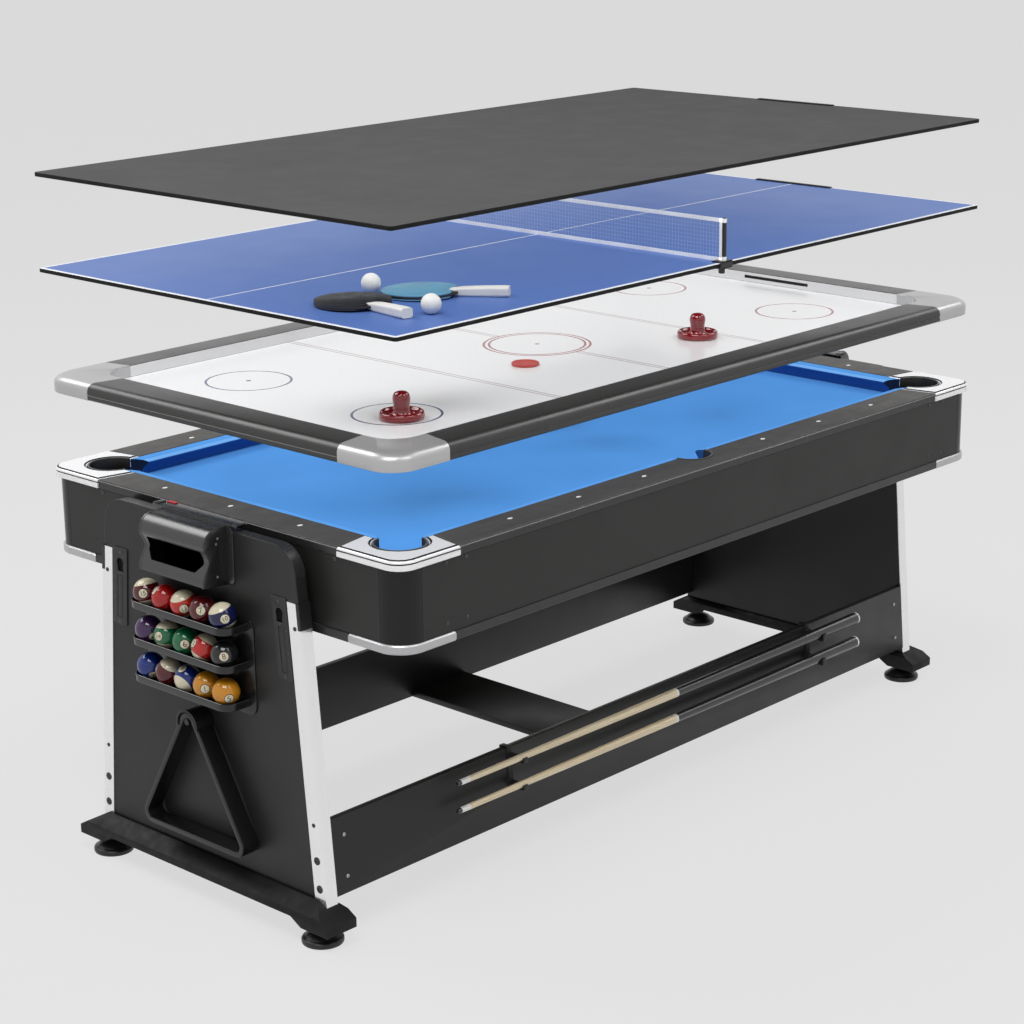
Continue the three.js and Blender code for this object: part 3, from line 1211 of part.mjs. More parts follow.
// The same piece at every corner, mirrored from the far back one
function addAtCorners(group, stem, finish, geometry) {
  for (const [end, signX] of Object.entries(ENDS)) {
    for (const [side, signY] of Object.entries(SIDES)) {
      addPiece(group, `${stem}_${end}_${side}`, finish, mirrored(geometry, signX, signY));
    }
  }
}

function addAtEnds(group, stem, finish, geometry) {
  for (const [end, sign] of Object.entries(ENDS)) {
    addPiece(group, `${stem}_${end}`, finish, mirrored(geometry, sign, 1));
  }
}

function addAtSides(group, stem, finish, geometry) {
  for (const [side, sign] of Object.entries(SIDES)) {
    addPiece(group, `${stem}_${side}`, finish, mirrored(geometry, 1, sign));
  }
}

function buildStand() {
  const stand = new THREE.Group();
  addAtEnds(stand, 'end_panel', 'black_board', endPanelGeometry());
  addAtCorners(stand, 'leg_trim', 'chrome', legTrimGeometry());
  addAtEnds(stand, 'foot_beam', 'black_plastic', footBeamGeometry());
  const board = sideBoardGeometry();
  const clips = CLIP_PLACES.map(cueClipGeometry);
  addPiece(stand, 'side_board_front', 'black_board', mirrored(joined(board, ...clips), 1, SIDES.front));
  addPiece(stand, 'side_board_back', 'black_board', board);
  addPiece(stand, 'cross_brace', 'black_board', crossBraceGeometry());
  addPiece(stand, 'ball_rack', 'black_plastic', mirrored(ballRackGeometry(), ENDS.near, 1));
  addAtEnds(stand, 'puck_box', 'black_plastic', puckBoxGeometry());
  for (const [end, signX] of Object.entries(ENDS)) {
    for (const [side, signY] of Object.entries(SIDES)) {
      addPiece(
        stand, `leveller_${end}_${side}`, 'rubber', levellerGeometry(),
        signX * LEVELLER_X, signY * LEVELLER_Y,
      );
    }
  }
  return stand;
}

function buildCabinet() {
  const cabinet = new THREE.Group();
  addPiece(cabinet, 'pool_bed', 'blue_cloth', poolBedGeometry());
  addAtSides(cabinet, 'cushion', 'blue_cloth', sideCushionGeometry());
  addAtEnds(cabinet, 'cushion', 'blue_cloth', endCushionGeometry());
  addAtSides(cabinet, 'rail', 'rail_laminate', sideRailGeometry());
  addAtEnds(cabinet, 'rail', 'rail_laminate', endRailGeometry());
  addAtCorners(cabinet, 'corner_pocket', 'chrome', cornerPocketGeometry());
  addAtSides(cabinet, 'side_cup', 'black_plastic', sideCupGeometry());
  addAtSides(cabinet, 'side_apron', 'black_board', sideApronGeometry());
  addAtEnds(cabinet, 'end_apron', 'black_board', endApronGeometry());
  return cabinet;
}

function buildHockey() {
  const hockey = new THREE.Group();
  addPiece(hockey, 'hockey_field', 'hockey_white', hockeyFieldGeometry());
  addPiece(hockey, 'hockey_frame', 'hockey_rail', hockeyFrameGeometry());
  addAtCorners(hockey, 'hockey_corner', 'satin_silver', hockeyCornerGeometry());
  addPiece(hockey, 'blower', 'black_plastic', blowerGeometry());
  const floor = HOCKEY_FIELD_TOP + FIT_GAP;
  const place = ([shareX, shareY]) => [shareX * HOCKEY_INNER_X, shareY * HOCKEY_INNER_Y, floor];
  for (const [name, shares] of Object.entries(PUSHER_PLACE_SHARES)) {
    addPiece(hockey, name, 'pusher_red', pusherGeometry(), ...place(shares));
  }
  const disc = post(PUCK_RADIUS, 0, 0, 0, PUCK_THICKNESS);
  addPiece(hockey, 'puck', 'puck_red', disc, ...place(PUCK_PLACE_SHARES));
  hockey.position.z = HOCKEY_BOTTOM;
  return hockey;
}

function buildTennis() {
  const tennis = new THREE.Group();
  const floor = TOP_THICKNESS + FIT_GAP;
  addPiece(tennis, 'tennis_top', 'tennis_blue', boardTopGeometry(TENNIS_HALF_LENGTH, TENNIS_HALF_WIDTH));
  addPiece(tennis, 'tennis_net', 'net_white', netGeometry());
  const place = ([shareX, shareY]) => [shareX * TENNIS_HALF_LENGTH, shareY * TENNIS_HALF_WIDTH];
  for (const [name, shares] of Object.entries(BAT_PLACE_SHARES)) {
    addPiece(tennis, name, name, batGeometry(BAT_HEADING_SHARES[name]), ...place(shares), floor);
  }
  for (const [name, shares] of Object.entries(TENNIS_BALL_PLACE_SHARES)) {
    const ball = new THREE.SphereGeometry(TENNIS_BALL_RADIUS, COARSE_SIDES, BALL_RINGS);
    const centre = floor + TENNIS_BALL_RADIUS;
    addPiece(tennis, name, 'ball_white', ball.rotateX(Math.PI / 2), ...place(shares), centre);
  }
  tennis.position.z = TENNIS_BOTTOM;
  return tennis;
}

function buildDining() {
  const dining = new THREE.Group();
  addPiece(dining, 'dining_top', 'dining_grey', boardTopGeometry(DINING_HALF_LENGTH, DINING_HALF_WIDTH));
  dining.position.z = DINING_BOTTOM;
  return dining;
}

function buildLoosePieces() {
  const loose = new THREE.Group();
  addPiece(loose, 'cue_upper', 'cue_wood', cueGeometry(), 0, SIDES.front * CUE_Y, CUE_Z_UPPER);
  addPiece(loose, 'cue_lower', 'cue_wood', cueGeometry(), 0, SIDES.front * CUE_Y, CUE_Z_LOWER);
  addPiece(loose, 'triangle', 'black_plastic', mirrored(triangleGeometry(), ENDS.near, 1));
  ballRowHeights().forEach((height, i) => {
    addPiece(loose, `ball_row_${i + 1}`, 'ball_gloss', mirrored(ballRowGeometry(height), ENDS.near, 1));
  });
  return loose;
}

const group = new THREE.Group();
group.add(buildStand(), buildCabinet(), buildHockey(), buildTennis(), buildDining(), buildLoosePieces());

export default group;
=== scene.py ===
import json
import math
from math import cos, pi, radians, sin, sqrt, tan

import bmesh
import bpy
from mathutils import Matrix, Vector
from mathutils.geometry import tessellate_polygon

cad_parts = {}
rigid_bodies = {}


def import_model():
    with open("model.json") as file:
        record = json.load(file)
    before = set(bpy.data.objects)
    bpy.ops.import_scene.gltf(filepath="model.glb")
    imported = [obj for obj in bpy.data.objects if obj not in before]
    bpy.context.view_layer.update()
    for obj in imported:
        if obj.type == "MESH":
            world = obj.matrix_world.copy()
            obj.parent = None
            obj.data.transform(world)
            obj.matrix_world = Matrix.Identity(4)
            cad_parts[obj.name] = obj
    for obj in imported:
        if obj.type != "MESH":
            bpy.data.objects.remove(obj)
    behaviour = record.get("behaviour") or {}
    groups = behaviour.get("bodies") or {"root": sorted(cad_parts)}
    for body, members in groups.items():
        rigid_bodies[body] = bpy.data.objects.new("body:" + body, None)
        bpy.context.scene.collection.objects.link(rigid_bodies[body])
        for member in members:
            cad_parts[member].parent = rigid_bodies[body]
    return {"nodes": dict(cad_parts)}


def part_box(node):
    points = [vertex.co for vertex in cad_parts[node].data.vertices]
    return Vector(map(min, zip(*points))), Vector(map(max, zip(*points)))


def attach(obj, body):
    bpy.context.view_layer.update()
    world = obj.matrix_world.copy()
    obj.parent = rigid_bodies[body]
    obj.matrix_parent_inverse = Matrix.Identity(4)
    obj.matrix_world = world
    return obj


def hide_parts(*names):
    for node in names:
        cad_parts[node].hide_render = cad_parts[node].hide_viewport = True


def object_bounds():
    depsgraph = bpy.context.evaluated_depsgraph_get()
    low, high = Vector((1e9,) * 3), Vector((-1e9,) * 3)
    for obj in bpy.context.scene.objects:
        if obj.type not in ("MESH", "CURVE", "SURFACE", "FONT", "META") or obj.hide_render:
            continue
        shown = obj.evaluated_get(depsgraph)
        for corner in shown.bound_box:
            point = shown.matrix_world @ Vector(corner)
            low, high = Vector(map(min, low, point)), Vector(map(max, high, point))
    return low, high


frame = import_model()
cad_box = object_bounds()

# Metres. X runs along the table, "near" is -X, Y across it, "front" is -Y, the cues' side.
# Each word's signs turn the mesh of the far end, the back side or the far back corner into its own.
ENDS = {"near": (-1, 1), "far": (1, 1)}
SIDES = {"front": (1, -1), "back": (1, 1)}
CORNERS = {f"{end}_{side}": (x, y) for end, (x, _) in ENDS.items() for side, (_, y) in SIDES.items()}

# Fineness of the meshes
ARC_DEGREES = 7.5
ROUND_STEPS = 48
SMALL_STEPS = 16
BALL_STEPS = 32
CURVE_STEPS = 6
MITRE_SHARE = 0.3
WELD = 1e-6

# Angles from which a piece's edges look sharp
PLATE_DEGREES = 12
RAIL_DEGREES = 22
SMOOTH_DEGREES = 32
RACK_DEGREES = 35
BEND_DEGREES = 40
CUP_DEGREES = 50
ROUND_DEGREES = 60

# Copies of CAD nodes: angles below which faces are one, and from which an edge is rounded
FLAT_DEGREES = 0.5
CREASE_DEGREES = 25

# Fits between pieces that lie on each other, and the usual edge roundings
SKIN = 0.0003
FINE_EDGE = 0.0008
EDGE = 0.0012
SOFT_EDGE = 0.002
CUT_OVERRUN = 0.002
CUTTER_RISE = 0.01

# Faces that get a piece's second look, by how far their normals rise or turn; on the cushions they pick the
# painted highlight on the nose and the painted shade below it and on the pocket facings
UPWARD_SHARE = 0.9
SIDEWAYS_SHARE = 0.5
NOSE_HIGHLIGHT_TILTS = (0.15, 0.93)
UNDERSIDE_SHADE_TILT = 0.1
FACING_SHADE_TURN = 0.3

# Screw heads, as shares of their radius and height from under the head to the floor of the socket
SCREW_SHARES = [(0, 0), (1, 0), (1, 0.45), (0.8, 0.9), (0.42, 1), (0.36, 0.35), (0, 0.35)]
SCREW_HEIGHT = 0.0016

# Photograph's camera
CAMERA_PLACE = (-4.00606, -3.68110, 2.20252)
CAMERA_YAW = 43.232
CAMERA_PITCH = -16.315
CAMERA_ROLL = -0.702
CAMERA_LENS = 85.59
CAMERA_SENSOR = 36
CAMERA_REACH = 100

# Stage: lamps as azimuth, elevation, size and power, all at one distance from the table's middle
LAMPS = {
    "key_lamp": (-65, 55, 3.0, 185),
    "front_lamp": (5, 50, 3.0, 75),
    "left_rim_lamp": (-157, 45, 3.0, 125),
    "right_rim_lamp": (69, 41, 2.4, 70),
}
LAMP_DISTANCE = 6.0
FLOOR_HALF = 40
FLOOR_GREY = (0.8, 0.8, 0.8)
FLOOR_ROUGHNESS = 0.7
FLOOR_GLOW_SHARE = 0.86
BACKDROP = (0.77, 0.77, 0.77)
AMBIENT_SHARE = 0.35
CEILING_SHARE = 0.2
CEILING_RISE = (0.5, 0.85)

# Board tops
TOP_CORNER_RADIUS = 0.008
TOP_EDGE = 0.0015
STRIP_RISE = 0.0025
STRIP_HALF = 0.115
STRIP_WIDTH = 0.016
TENNIS_BORDER = 0.009
TENNIS_CENTRE_LINE = 0.002

# Tennis net
NET_MESH = 0.0085
NET_THREAD = 0.0004
NET_TAPE_HEIGHT = 0.0085
NET_TAPE_THICKNESS = 0.0014
NET_POST_RADIUS = 0.0048
NET_CLAMP_HALF = 0.02
NET_CLAMP_REACH = 0.027
NET_CLAMP_THICKNESS = 0.0025
NET_JAW = 0.003
NET_KNOB_PROFILE = [(0, -0.012), (0.00595, -0.012), (0.007, -0.0105), (0.007, 0), (0, 0)]

# Bats
BLADE_HALF_LENGTH = 0.079
BLADE_HALF_WIDTH = 0.075
BLADE_PLY = 0.005
BLADE_SPONGE = 0.0025
BLADE_EDGE = 0.0006
BLADE_STEPS = 64
RUBBER_GAP = 0.012
BAT_HANDLE_END = 0.179
BAT_HANDLE_HALF = 0.0135
BAT_HANDLE_DEPTH = 0.0205
HANDLE_ROUND_SHARE = 0.55
# Distance from the blade's middle, and shares of the handle's width and depth
HANDLE_STATIONS = [
    (0.060, 0.86, 0.55), (0.085, 0.92, 0.86), (0.130, 0.94, 1), (0.168, 1.02, 1),
    (BAT_HANDLE_END, 0.98, 0.94),
]
BAT_HEADINGS = {"bat_black": -98.1, "bat_blue": -56.0}

# Air hockey layer
HOCKEY_RAIL_WIDTH = 0.085
HOCKEY_CORNER_RADIUS = 0.058
HOCKEY_FILLET_RADIUS = 0.060
HOCKEY_SIDE_JOINT = 0.831
HOCKEY_END_JOINT = 0.384
HOCKEY_SIDE_MITRE = 0.019
HOCKEY_END_MITRE = 0.016
HOCKEY_LINER = 0.0016
RAIL_SHOULDER = 0.020
RAIL_SHOULDER_TURNS = (0, 15, 30, 45, 60, 75, 90)
RAIL_FACE = 0.0165
RAIL_LIP = 0.002
# Distance in from the outer face, and height
HOCKEY_RAIL_FOOT = [(0.003, 0), (0, 0.003), (0, 0.0105), (0.0018, 0.0115), (0.0018, 0.0130), (0, 0.0140)]
HOCKEY_CORNER_FACE = [
    (0.001, 0), (0, 0.0012), (0, 0.020), (0.0010, 0.0248), (0.0036, 0.0292), (0.0078, 0.0328),
    (0.0132, 0.0352),
]
HOCKEY_CORNER_SHOULDER = 0.019
HOCKEY_CORNER_WALL = 0.009
HOCKEY_CORNER_CORE = 0.021
FIELD_RISE = 0.011
FIELD_SHEET = 0.006
PLENUM_HALF = (0.84, 0.405)
PLENUM_CORNER = 0.006
BLOWER_HOLE_RADIUS = 0.0503
GOAL_HALF = 0.1
GOAL_SLOT_BOTTOM = 0.020
GOAL_SLOT_TOP = 0.028
GOAL_DEPTH = 0.0595
FACE_CIRCLE = 0.092
CENTRE_CIRCLE = 0.122
FACE_CIRCLE_X = 0.670
FACE_CIRCLE_Y = 0.228
CROSS_LINE_X = 0.344
LINE_PAIR_GAP = 0.012
FIELD_LINE = 0.0018
RING_LINE = 0.0027
FIELD_DOT = 0.006
AIR_HOLE_PITCH = 0.025
AIR_HOLE_RADIUS = 0.0008

# Pushers and puck as radius and height
PUSHER_PROFILE = [
    (0, 0), (0.0445, 0), (0.0465, 0.0020), (0.0470, 0.0050), (0.0466, 0.0125), (0.0448, 0.0154),
    (0.0425, 0.0160), (0.0402, 0.0152), (0.0385, 0.0125), (0.0365, 0.0105), (0.0300, 0.0090),
    (0.0245, 0.0094), (0.0205, 0.0112), (0.0182, 0.0150), (0.0172, 0.0200), (0.0166, 0.0260),
    (0.0168, 0.0310), (0.0178, 0.0355), (0.0184, 0.0400), (0.0182, 0.0440), (0.0174, 0.0478),
    (0.0154, 0.0518), (0.0120, 0.0549), (0.0066, 0.0566), (0, 0.0570),
]
PUCK_PROFILE = [
    (0, 0), (0.0298, 0), (0.0308, 0.001), (0.0308, 0.005), (0.0298, 0.006), (0.0248, 0.006),
    (0.0243, 0.0052), (0, 0.0052),
]

# Pool rails, pockets and cloth
CORNER_POCKET_RADIUS = 0.055
SIDE_POCKET_RADIUS = 0.048
POCKET_WALL = 0.004
CORNER_CUP_TURN = 225
CUP_LIP = 0.0022
CUP_LIP_RISE = 0.0006
CUP_FOOT = 0.006
CUP_EDGE = 0.001
CORNER_POCKET_PLACE = (0.880, 0.445)
SIDE_POCKET_Y = 0.452
CASTING_CORNER_RADIUS = 0.042
CASTING_FOOT = 0.001
# Inset and distance below the top, and the same distances for the upper and lower edges of the grooves,
# which are painted dark as a reflection
CASTING_EDGE = [
    (0, 0.0108), (0.0016, 0.0100), (0.0016, 0.0074), (0.0002, 0.0068), (0.0004, 0.0050),
    (0.0016, 0.0030), (0.0034, 0.0018), (0.0068, 0.0018), (0.0074, 0),
]
CASTING_REFLECTION_BANDS = [(0.0072, 0.0102), (0.0005, 0.0020)]
RAIL_MITRE = 0.017
CLOTH_THICKNESS = 0.0006
CUSHION_WIDTH = 0.028
CUSHION_STEP = 0.020
CUSHION_FOOT = 0.0145
# Distance back from the nose, and below the rail's top
CUSHION_NOSE = [
    (0.018, 0.0018), (0.008, 0.0040), (0.002, 0.0066), (0.0002, 0.0086), (0.0002, 0.0105),
    (0.0016, 0.0128), (0.009, 0.023),
]
THROAT_SPAN = (-0.3, 0.02)
SIGHT_SHARES = [(0, 0), (1, 0), (0.97, 0.5), (0.85, 0.9), (0.5, 1), (0, 1)]
SIGHT_HALF_LENGTH = 0.0065
SIGHT_HALF_WIDTH = 0.0045
SIGHT_RISE = 0.0004
SIGHT_INSET = 0.050
END_SIGHTS = (-0.21, 0, 0.21)
SIDE_SIGHTS = (-0.62, -0.414, -0.205, 0.205, 0.414, 0.62)

# Cabinet
CABINET_CORNER_RADIUS = 0.054
APRON_THICKNESS = 0.015
LOWER_TRIM_HEIGHT = 0.019
LOWER_TRIM_THICKNESS = 0.020
LOWER_TRIM_PROUD = 0.003
LOWER_CORNER_PROUD = 0.005
LOWER_CORNER_ARM = 0.150
LOWER_CORNER_LIP = 0.003
LOWER_CORNER_ROUND = 0.0025
LOWER_CORNER_DEPTH = 0.009
# How far an arm's end is drawn in, up and down and from its face
LOWER_CORNER_END = (0.002, 0.0012)
POST_ARM = 0.004
APRON_SCREW_Y = 0.36
APRON_SCREW_RADIUS = 0.0045
POST_SCREWS_X = (0.795, 0.85)
POST_SCREW_HEIGHTS = (0.800, 0.677)
POST_SCREW_RADIUS = 0.0038
T_EDGE_DROP = 0.005
T_EDGE_ROUND = 0.0004
T_EDGE_HEIGHT = 0.0024
T_EDGE_PROUD = 0.0012
PIVOT_HEIGHT = 0.733
PIVOT_BOSS_RADIUS = 0.035

# Stand
LEG_FOOT_HALF = 0.3579
LEG_TOP_HALF = 0.3059
TRIM_THICKNESS = 0.002
TRIM_FACE_WIDTH = 0.033
TRIM_ROUND = 0.0016
TRIM_CAP_BOTTOM = 0.654
TRIM_CAP_PROUD = 0.0012
TRIM_CAP_REACH = 0.008
# Height, head radius and head height
TRIM_SCREWS = [
    (0.655, 0.0045, 0.0016), (0.250, 0.0045, 0.0016), (0.175, 0.0085, 0.0020), (0.115, 0.0085, 0.0020),
]
PANEL_HEAD_HALF = 0.298
PANEL_TOP = 0.817
PANEL_SHOULDER_RADIUS = 0.060
PANEL_LIP_BOTTOM = 0.75
PIVOT_HOLE_RADIUS = 0.0103
LOCK_PLATE_WIDTH = 0.046
LOCK_PLATE_BOTTOM = 0.540
LOCK_PLATE_TOP = 0.712
LOCK_PLATE_THICKNESS = 0.0025
LOCK_PLATE_EDGE_GAP = 0.036
LOCK_PLATE_CORNER = 0.004
LOCK_RECESS_RISE = 0.0006
LOCK_RECESS_EDGE = 0.0002
# Distance in from the plate's outer edge, height, head radius and head height
LOCK_SCREWS = [
    (0.023, 0.548, 0.0035, 0.0008), (0.023, 0.702, 0.0035, 0.0008),
    (0.007, 0.600, 0.0022, 0.0006), (0.007, 0.645, 0.0022, 0.0006),
]
KEYHOLE_HEIGHT = 0.679
KEYHOLE_RADIUS = 0.0105
KEYHOLE_TURN = (-30, 210)
KEYHOLE_LENGTH = 0.020
KEYHOLE_FOOT_HALF = 0.008925
LOCK_SLOT_CORNER = 0.003
LOCK_SLOT_BOTTOM = 0.556
LOCK_SLOT_TOP = 0.652
LOCK_SLOT_HALF = 0.008
LOCK_RIM = 0.0014
LOCK_BAR_GAP = 0.0012
LOCK_RIM_RISE = 0.0006
BEAM_EDGE = 0.006
BEAM_CREASE_DEGREES = 20
BOARD_SCREW_X = 0.962
BOARD_SCREW_HEIGHTS = (0.128, 0.216)
BOARD_SCREW_RADIUS = 0.0042
LEVELLER_PROFILE = [
    (0, 0), (0.0405, 0), (0.0425, 0.0008), (0.0435, 0.003), (0.0435, 0.0085), (0.0425, 0.0105),
    (0.0395, 0.0128), (0.0375, 0.0132), (0.0350, 0.0155), (0.0310, 0.0192), (0.0255, 0.0225),
    (0.0195, 0.0250), (0.0150, 0.0272), (0.0130, 0.0300), (0.0130, 0.0364), (0.0060, 0.0366),
    (0.0060, 0.0630), (0, 0.0630),
]

# Rack, balls, triangle, puck boxes and cues
BALL_RADIUS = 0.0286
BALL_PITCH = 0.0595
NUMBER_DISC_DEGREES = 21
NUMBER_RINGS = 8
# Size by number of digits
NUMBER_SIZES = {1: 0.0165, 2: 0.0135}
BALL_PRINT = 0.00008
STRIPE_SHARE = 0.52
TRAY_THICKNESS = 0.003
TRAY_RADIUS = 0.030
TRAY_DEPTH = 0.066
TRAY_HALF = 0.154
TRAY_FLOOR_INSET = 0.004
# Distance in from the tray's outer face, and height
TRAY_SECTION = [
    (0.003, 0), (0.001, 0.0003), (0, 0.0018), (0, 0.012), (-0.0006, 0.0135), (0, 0.0152), (0.0012, 0.016),
    (0.0026, 0.0154), (0.003, 0.014), (0.003, 0.003), (0.006, 0.003), (0.006, 0),
]
HOOK_PEG_RADIUS = 0.007
HOOK_DEPTH = 0.048
HOOK_GAP = 0.0012
HOOK_STRAP = 0.0035
HOOK_LIP = 0.0025
HOOK_WRAP = 12
HOOK_NECK_HALF = 0.014
HOOK_RIM_EDGE = 0.001
RACK_HALF = 0.170
RACK_BOTTOM = 0.440
RACK_TOP = 0.645
RACK_CORNER = 0.022
RACK_EDGE = 0.001
TRIANGLE_ROUND = 0.026
TRIANGLE_BAR = 0.012
TRIANGLE_EDGE = 0.0025
RED_STOP_SPAN = (0.089, 0.115)
RED_STOP_DEPTH = 0.010
RED_STOP_RISE = 0.0015
HOOD_HALF = 0.1
HOOD_BOTTOM = 0.705
HOOD_WALL = 0.003
HOOD_EDGE = 0.001
HOOD_FOOT = 0.006
# Distance out from the panel, and height above the hood's bottom; the crown is an arc with its radius
HOOD_FRONT = [(0.0675, 0.023), (0.0595, 0.038), (0.0510, 0.055), (0.0555, 0.070), (0.0625, 0.082)]
HOOD_CROWN = (0.0290, 0.0878, 0.0350)
# Distance in from the hood's side, and how far the section is drawn in there
HOOD_SIDE = [(0, 0.0016), (0.0008, 0), (0.0032, 0), (0.0042, 0.0012)]
HOOD_WINDOW = [
    (-0.068, 0.737), (0.068, 0.737), (0.085, 0.754), (0.085, 0.783), (-0.085, 0.783), (-0.085, 0.754),
]
HOOD_WINDOW_CORNER = 0.006
HOOD_WINDOW_SPAN = (0.02, 0.09)
HOOD_SCREWS = [(0.058, 0.806), (0.062, 0.795), (0.062, 0.727)]
HOOD_SCREW_RADIUS = 0.0028
HOOD_SCREW_HEIGHT = 0.001
FLANGE_HALF = 0.119
FLANGE_TOP = 0.828
FLANGE_CORNER = 0.014
FLANGE_THICKNESS = 0.003
GRIP_HALF = 0.130
GRIP_DEPTH = 0.036
GRIP_BOTTOM = 0.8273
BRACKET_SPAN = (-0.026, 0.002)
BRACKET_INNER = 0.118
BRACKET_CORNER = 0.003
BRACKET_RISE = 0.0025
CUE_JOINT_X = 0.035
CUE_FERRULE = 0.026
CUE_TIP = 0.010
CUE_TIP_RADIUS = 0.0062
CUE_TAPER = 0.008
CUE_STATIONS = (0.2, 0.4, 0.6, 0.9, 1.1, 1.3)
CUE_END = 0.014
# Radius, and distance from the tip or from the butt's end
CUE_TIP_PROFILE = [(0, 0), (0.0035, 0.0004), (0.0050, 0.0022)]
CUE_BUTT_PROFILE = [(0.0142, 0.0025), (0.0120, 0.0006), (0.0095, 0), (0, 0)]
BUTT_CAP = 0.007
CUE_RING = 0.003

# Rows of balls from the back to the front: number, colour, striped, and where the number faces, in degrees
# aside and up
BALLS = {
    1: [("15", "maroon", True, 35, 10), ("3", "red", False, -30, 40), ("11", "scarlet", True, 50, -5),
        ("7", "maroon", False, 40, 15), ("10", "navy", True, 60, 5)],
    2: [("4", "purple", False, 70, -20), ("14", "green", True, 10, 10), ("6", "green", False, 45, 5),
        ("13", "scarlet", True, -20, 30), ("8", "black", False, 48, 8)],
    3: [("2", "blue", False, 60, -30), ("12", "maroon", True, -40, 20), ("9", "blue", True, 0, 60),
        ("1", "yellow", False, 42, 2), ("5", "yellow", False, 62, -12)],
}
BALL_COLOURS = {
    "maroon": (0.080, 0.003, 0.006), "red": (0.36, 0.006, 0.006), "scarlet": (0.45, 0.015, 0.008),
    "navy": (0.005, 0.007, 0.055), "blue": (0.005, 0.022, 0.180), "purple": (0.045, 0.014, 0.075),
    "green": (0.006, 0.125, 0.045), "black": (0.008, 0.008, 0.009), "yellow": (0.54, 0.22, 0.010),
    "cream": (0.66, 0.60, 0.44),
}

# Shares of noise between which a patch or a grain goes from dark to light
PATCH_SPREAD = (0.3, 0.7)
GRAIN_SPREAD = (0.35, 0.65)

# Least and most roughness of a surface as shares of its own, and heights of its relief
MOULDED_GLOSS_SHARES = (0.85, 1.15)
BOARD_GLOSS_SHARES = (0.9, 1.1)
METAL_GLOSS_SHARES = (0.95, 1.05)
LAMINATE_TONE_SHARES = (0.88, 1.1)
CLOTH_WORN_SHARE = 0.86
CLOTH_ROUGHNESS = 0.95
MOULDED_BUMP = 0.00012
BOARD_BUMP = 0.00006
CLOTH_BUMP = 0.0002
LAMINATE_BUMP = 0.00005
TENNIS_BUMP = 0.00004
AIR_HOLE_DEPTH = 0.0004

# Strength and colour of what is printed on the field, and of the painted shade in the air holes
FIELD_PAINTS = {
    "dull": (0.9, (0.33, 0.25, 0.27)), "red": (0.95, (0.30, 0.02, 0.04)),
    "navy": (0.95, (0.03, 0.04, 0.16)), "hole": (0.5, (0.35, 0.36, 0.38)),
}
PUSHER_RED = (0.22, 0.005, 0.010)
HOOD_BLACK = (0.008, 0.008, 0.008)

# Colours are linear. Moulded plastic and rubber: colour, roughness, grain, and gloss where it's unusual
MOULDED = {
    "dining_edge": ((0.004, 0.004, 0.004), 0.6, 900, 0.2),
    "tennis_edge": ((0.004, 0.004, 0.004), 0.6, 900, 0.2),
    "celluloid": ((0.86, 0.86, 0.84), 0.45, 1200),
    "net_tape": ((0.93, 0.93, 0.94), 0.75, 700),
    "net_cord": ((0.40, 0.52, 0.85), 0.8, 900),
    "net_post": ((0.012, 0.012, 0.013), 0.35, 900),
    "bat_black_rubber": ((0.016, 0.017, 0.020), 0.42, 1400),
    "bat_blue_rubber": ((0.120, 0.310, 0.460), 0.42, 1400),
    "bat_ply": ((0.014, 0.014, 0.016), 0.5, 900),
    "bat_grip": ((0.74, 0.73, 0.71), 0.5, 900),
    "blower_plastic": ((0.008, 0.008, 0.0085), 0.4, 900),
    "puck_plastic": ((0.50, 0.055, 0.045), 0.35, 900),
    "rail_edge": ((0.016, 0.016, 0.016), 0.3, 900),
    "t_edge": ((0.16, 0.16, 0.16), 0.25, 900),
    "sight_pearl": ((0.80, 0.80, 0.76), 0.25, 900),
    # Painted reflection: near black for the chrome casting's grooves
    "casting_groove": ((0.004, 0.004, 0.004), 0.3, 900),
    "cup_rubber": ((0.006, 0.006, 0.006), 0.5, 900),
    "cup_lip": ((0.11, 0.11, 0.11), 0.3, 900),
    "lower_trim_black": ((0.020, 0.020, 0.020), 0.35, 900),
    "panel_edge": ((0.022, 0.022, 0.022), 0.3, 900),
    "lock_plate": ((0.022, 0.022, 0.023), 0.55, 700),
    # Painted shade: near black that shows through the lock plate's keyhole and slot
    "lock_recess": ((0.001, 0.001, 0.001), 0.7, 900, 0.1),
    "lock_rim": ((0.030, 0.030, 0.030), 0.25, 900),
    "trim_cap": ((0.010, 0.010, 0.010), 0.4, 900),
    "beam_plastic": ((0.005, 0.005, 0.005), 0.55, 500, 0.25),
    "pad_rubber": ((0.009, 0.009, 0.009), 0.38, 900),
    "rack_plastic": ((0.008, 0.008, 0.0085), 0.2, 700),
    "triangle_plastic": ((0.006, 0.006, 0.006), 0.22, 800),
    "stop_red": ((0.45, 0.015, 0.020), 0.4, 900),
}

# Boards as colour, roughness, grain and gloss
BOARDS = {
    "dining_laminate": ((0.076, 0.076, 0.076), 0.8, 650, 0.1),
    "hockey_rail_foil": ((0.030, 0.030, 0.029), 0.30, 500, 0.45),
    "plenum_board": ((0.09, 0.085, 0.08), 0.6, 500, 0.35),
    "bed_board": ((0.24, 0.17, 0.11), 0.7, 500, 0.35),
    "apron_foil": ((0.016, 0.016, 0.015), 0.42, 500, 0.35),
    "post_foil": ((0.005, 0.005, 0.005), 0.25, 500, 0.35),
    "panel_foil": ((0.016, 0.016, 0.016), 0.40, 500, 0.35),
}

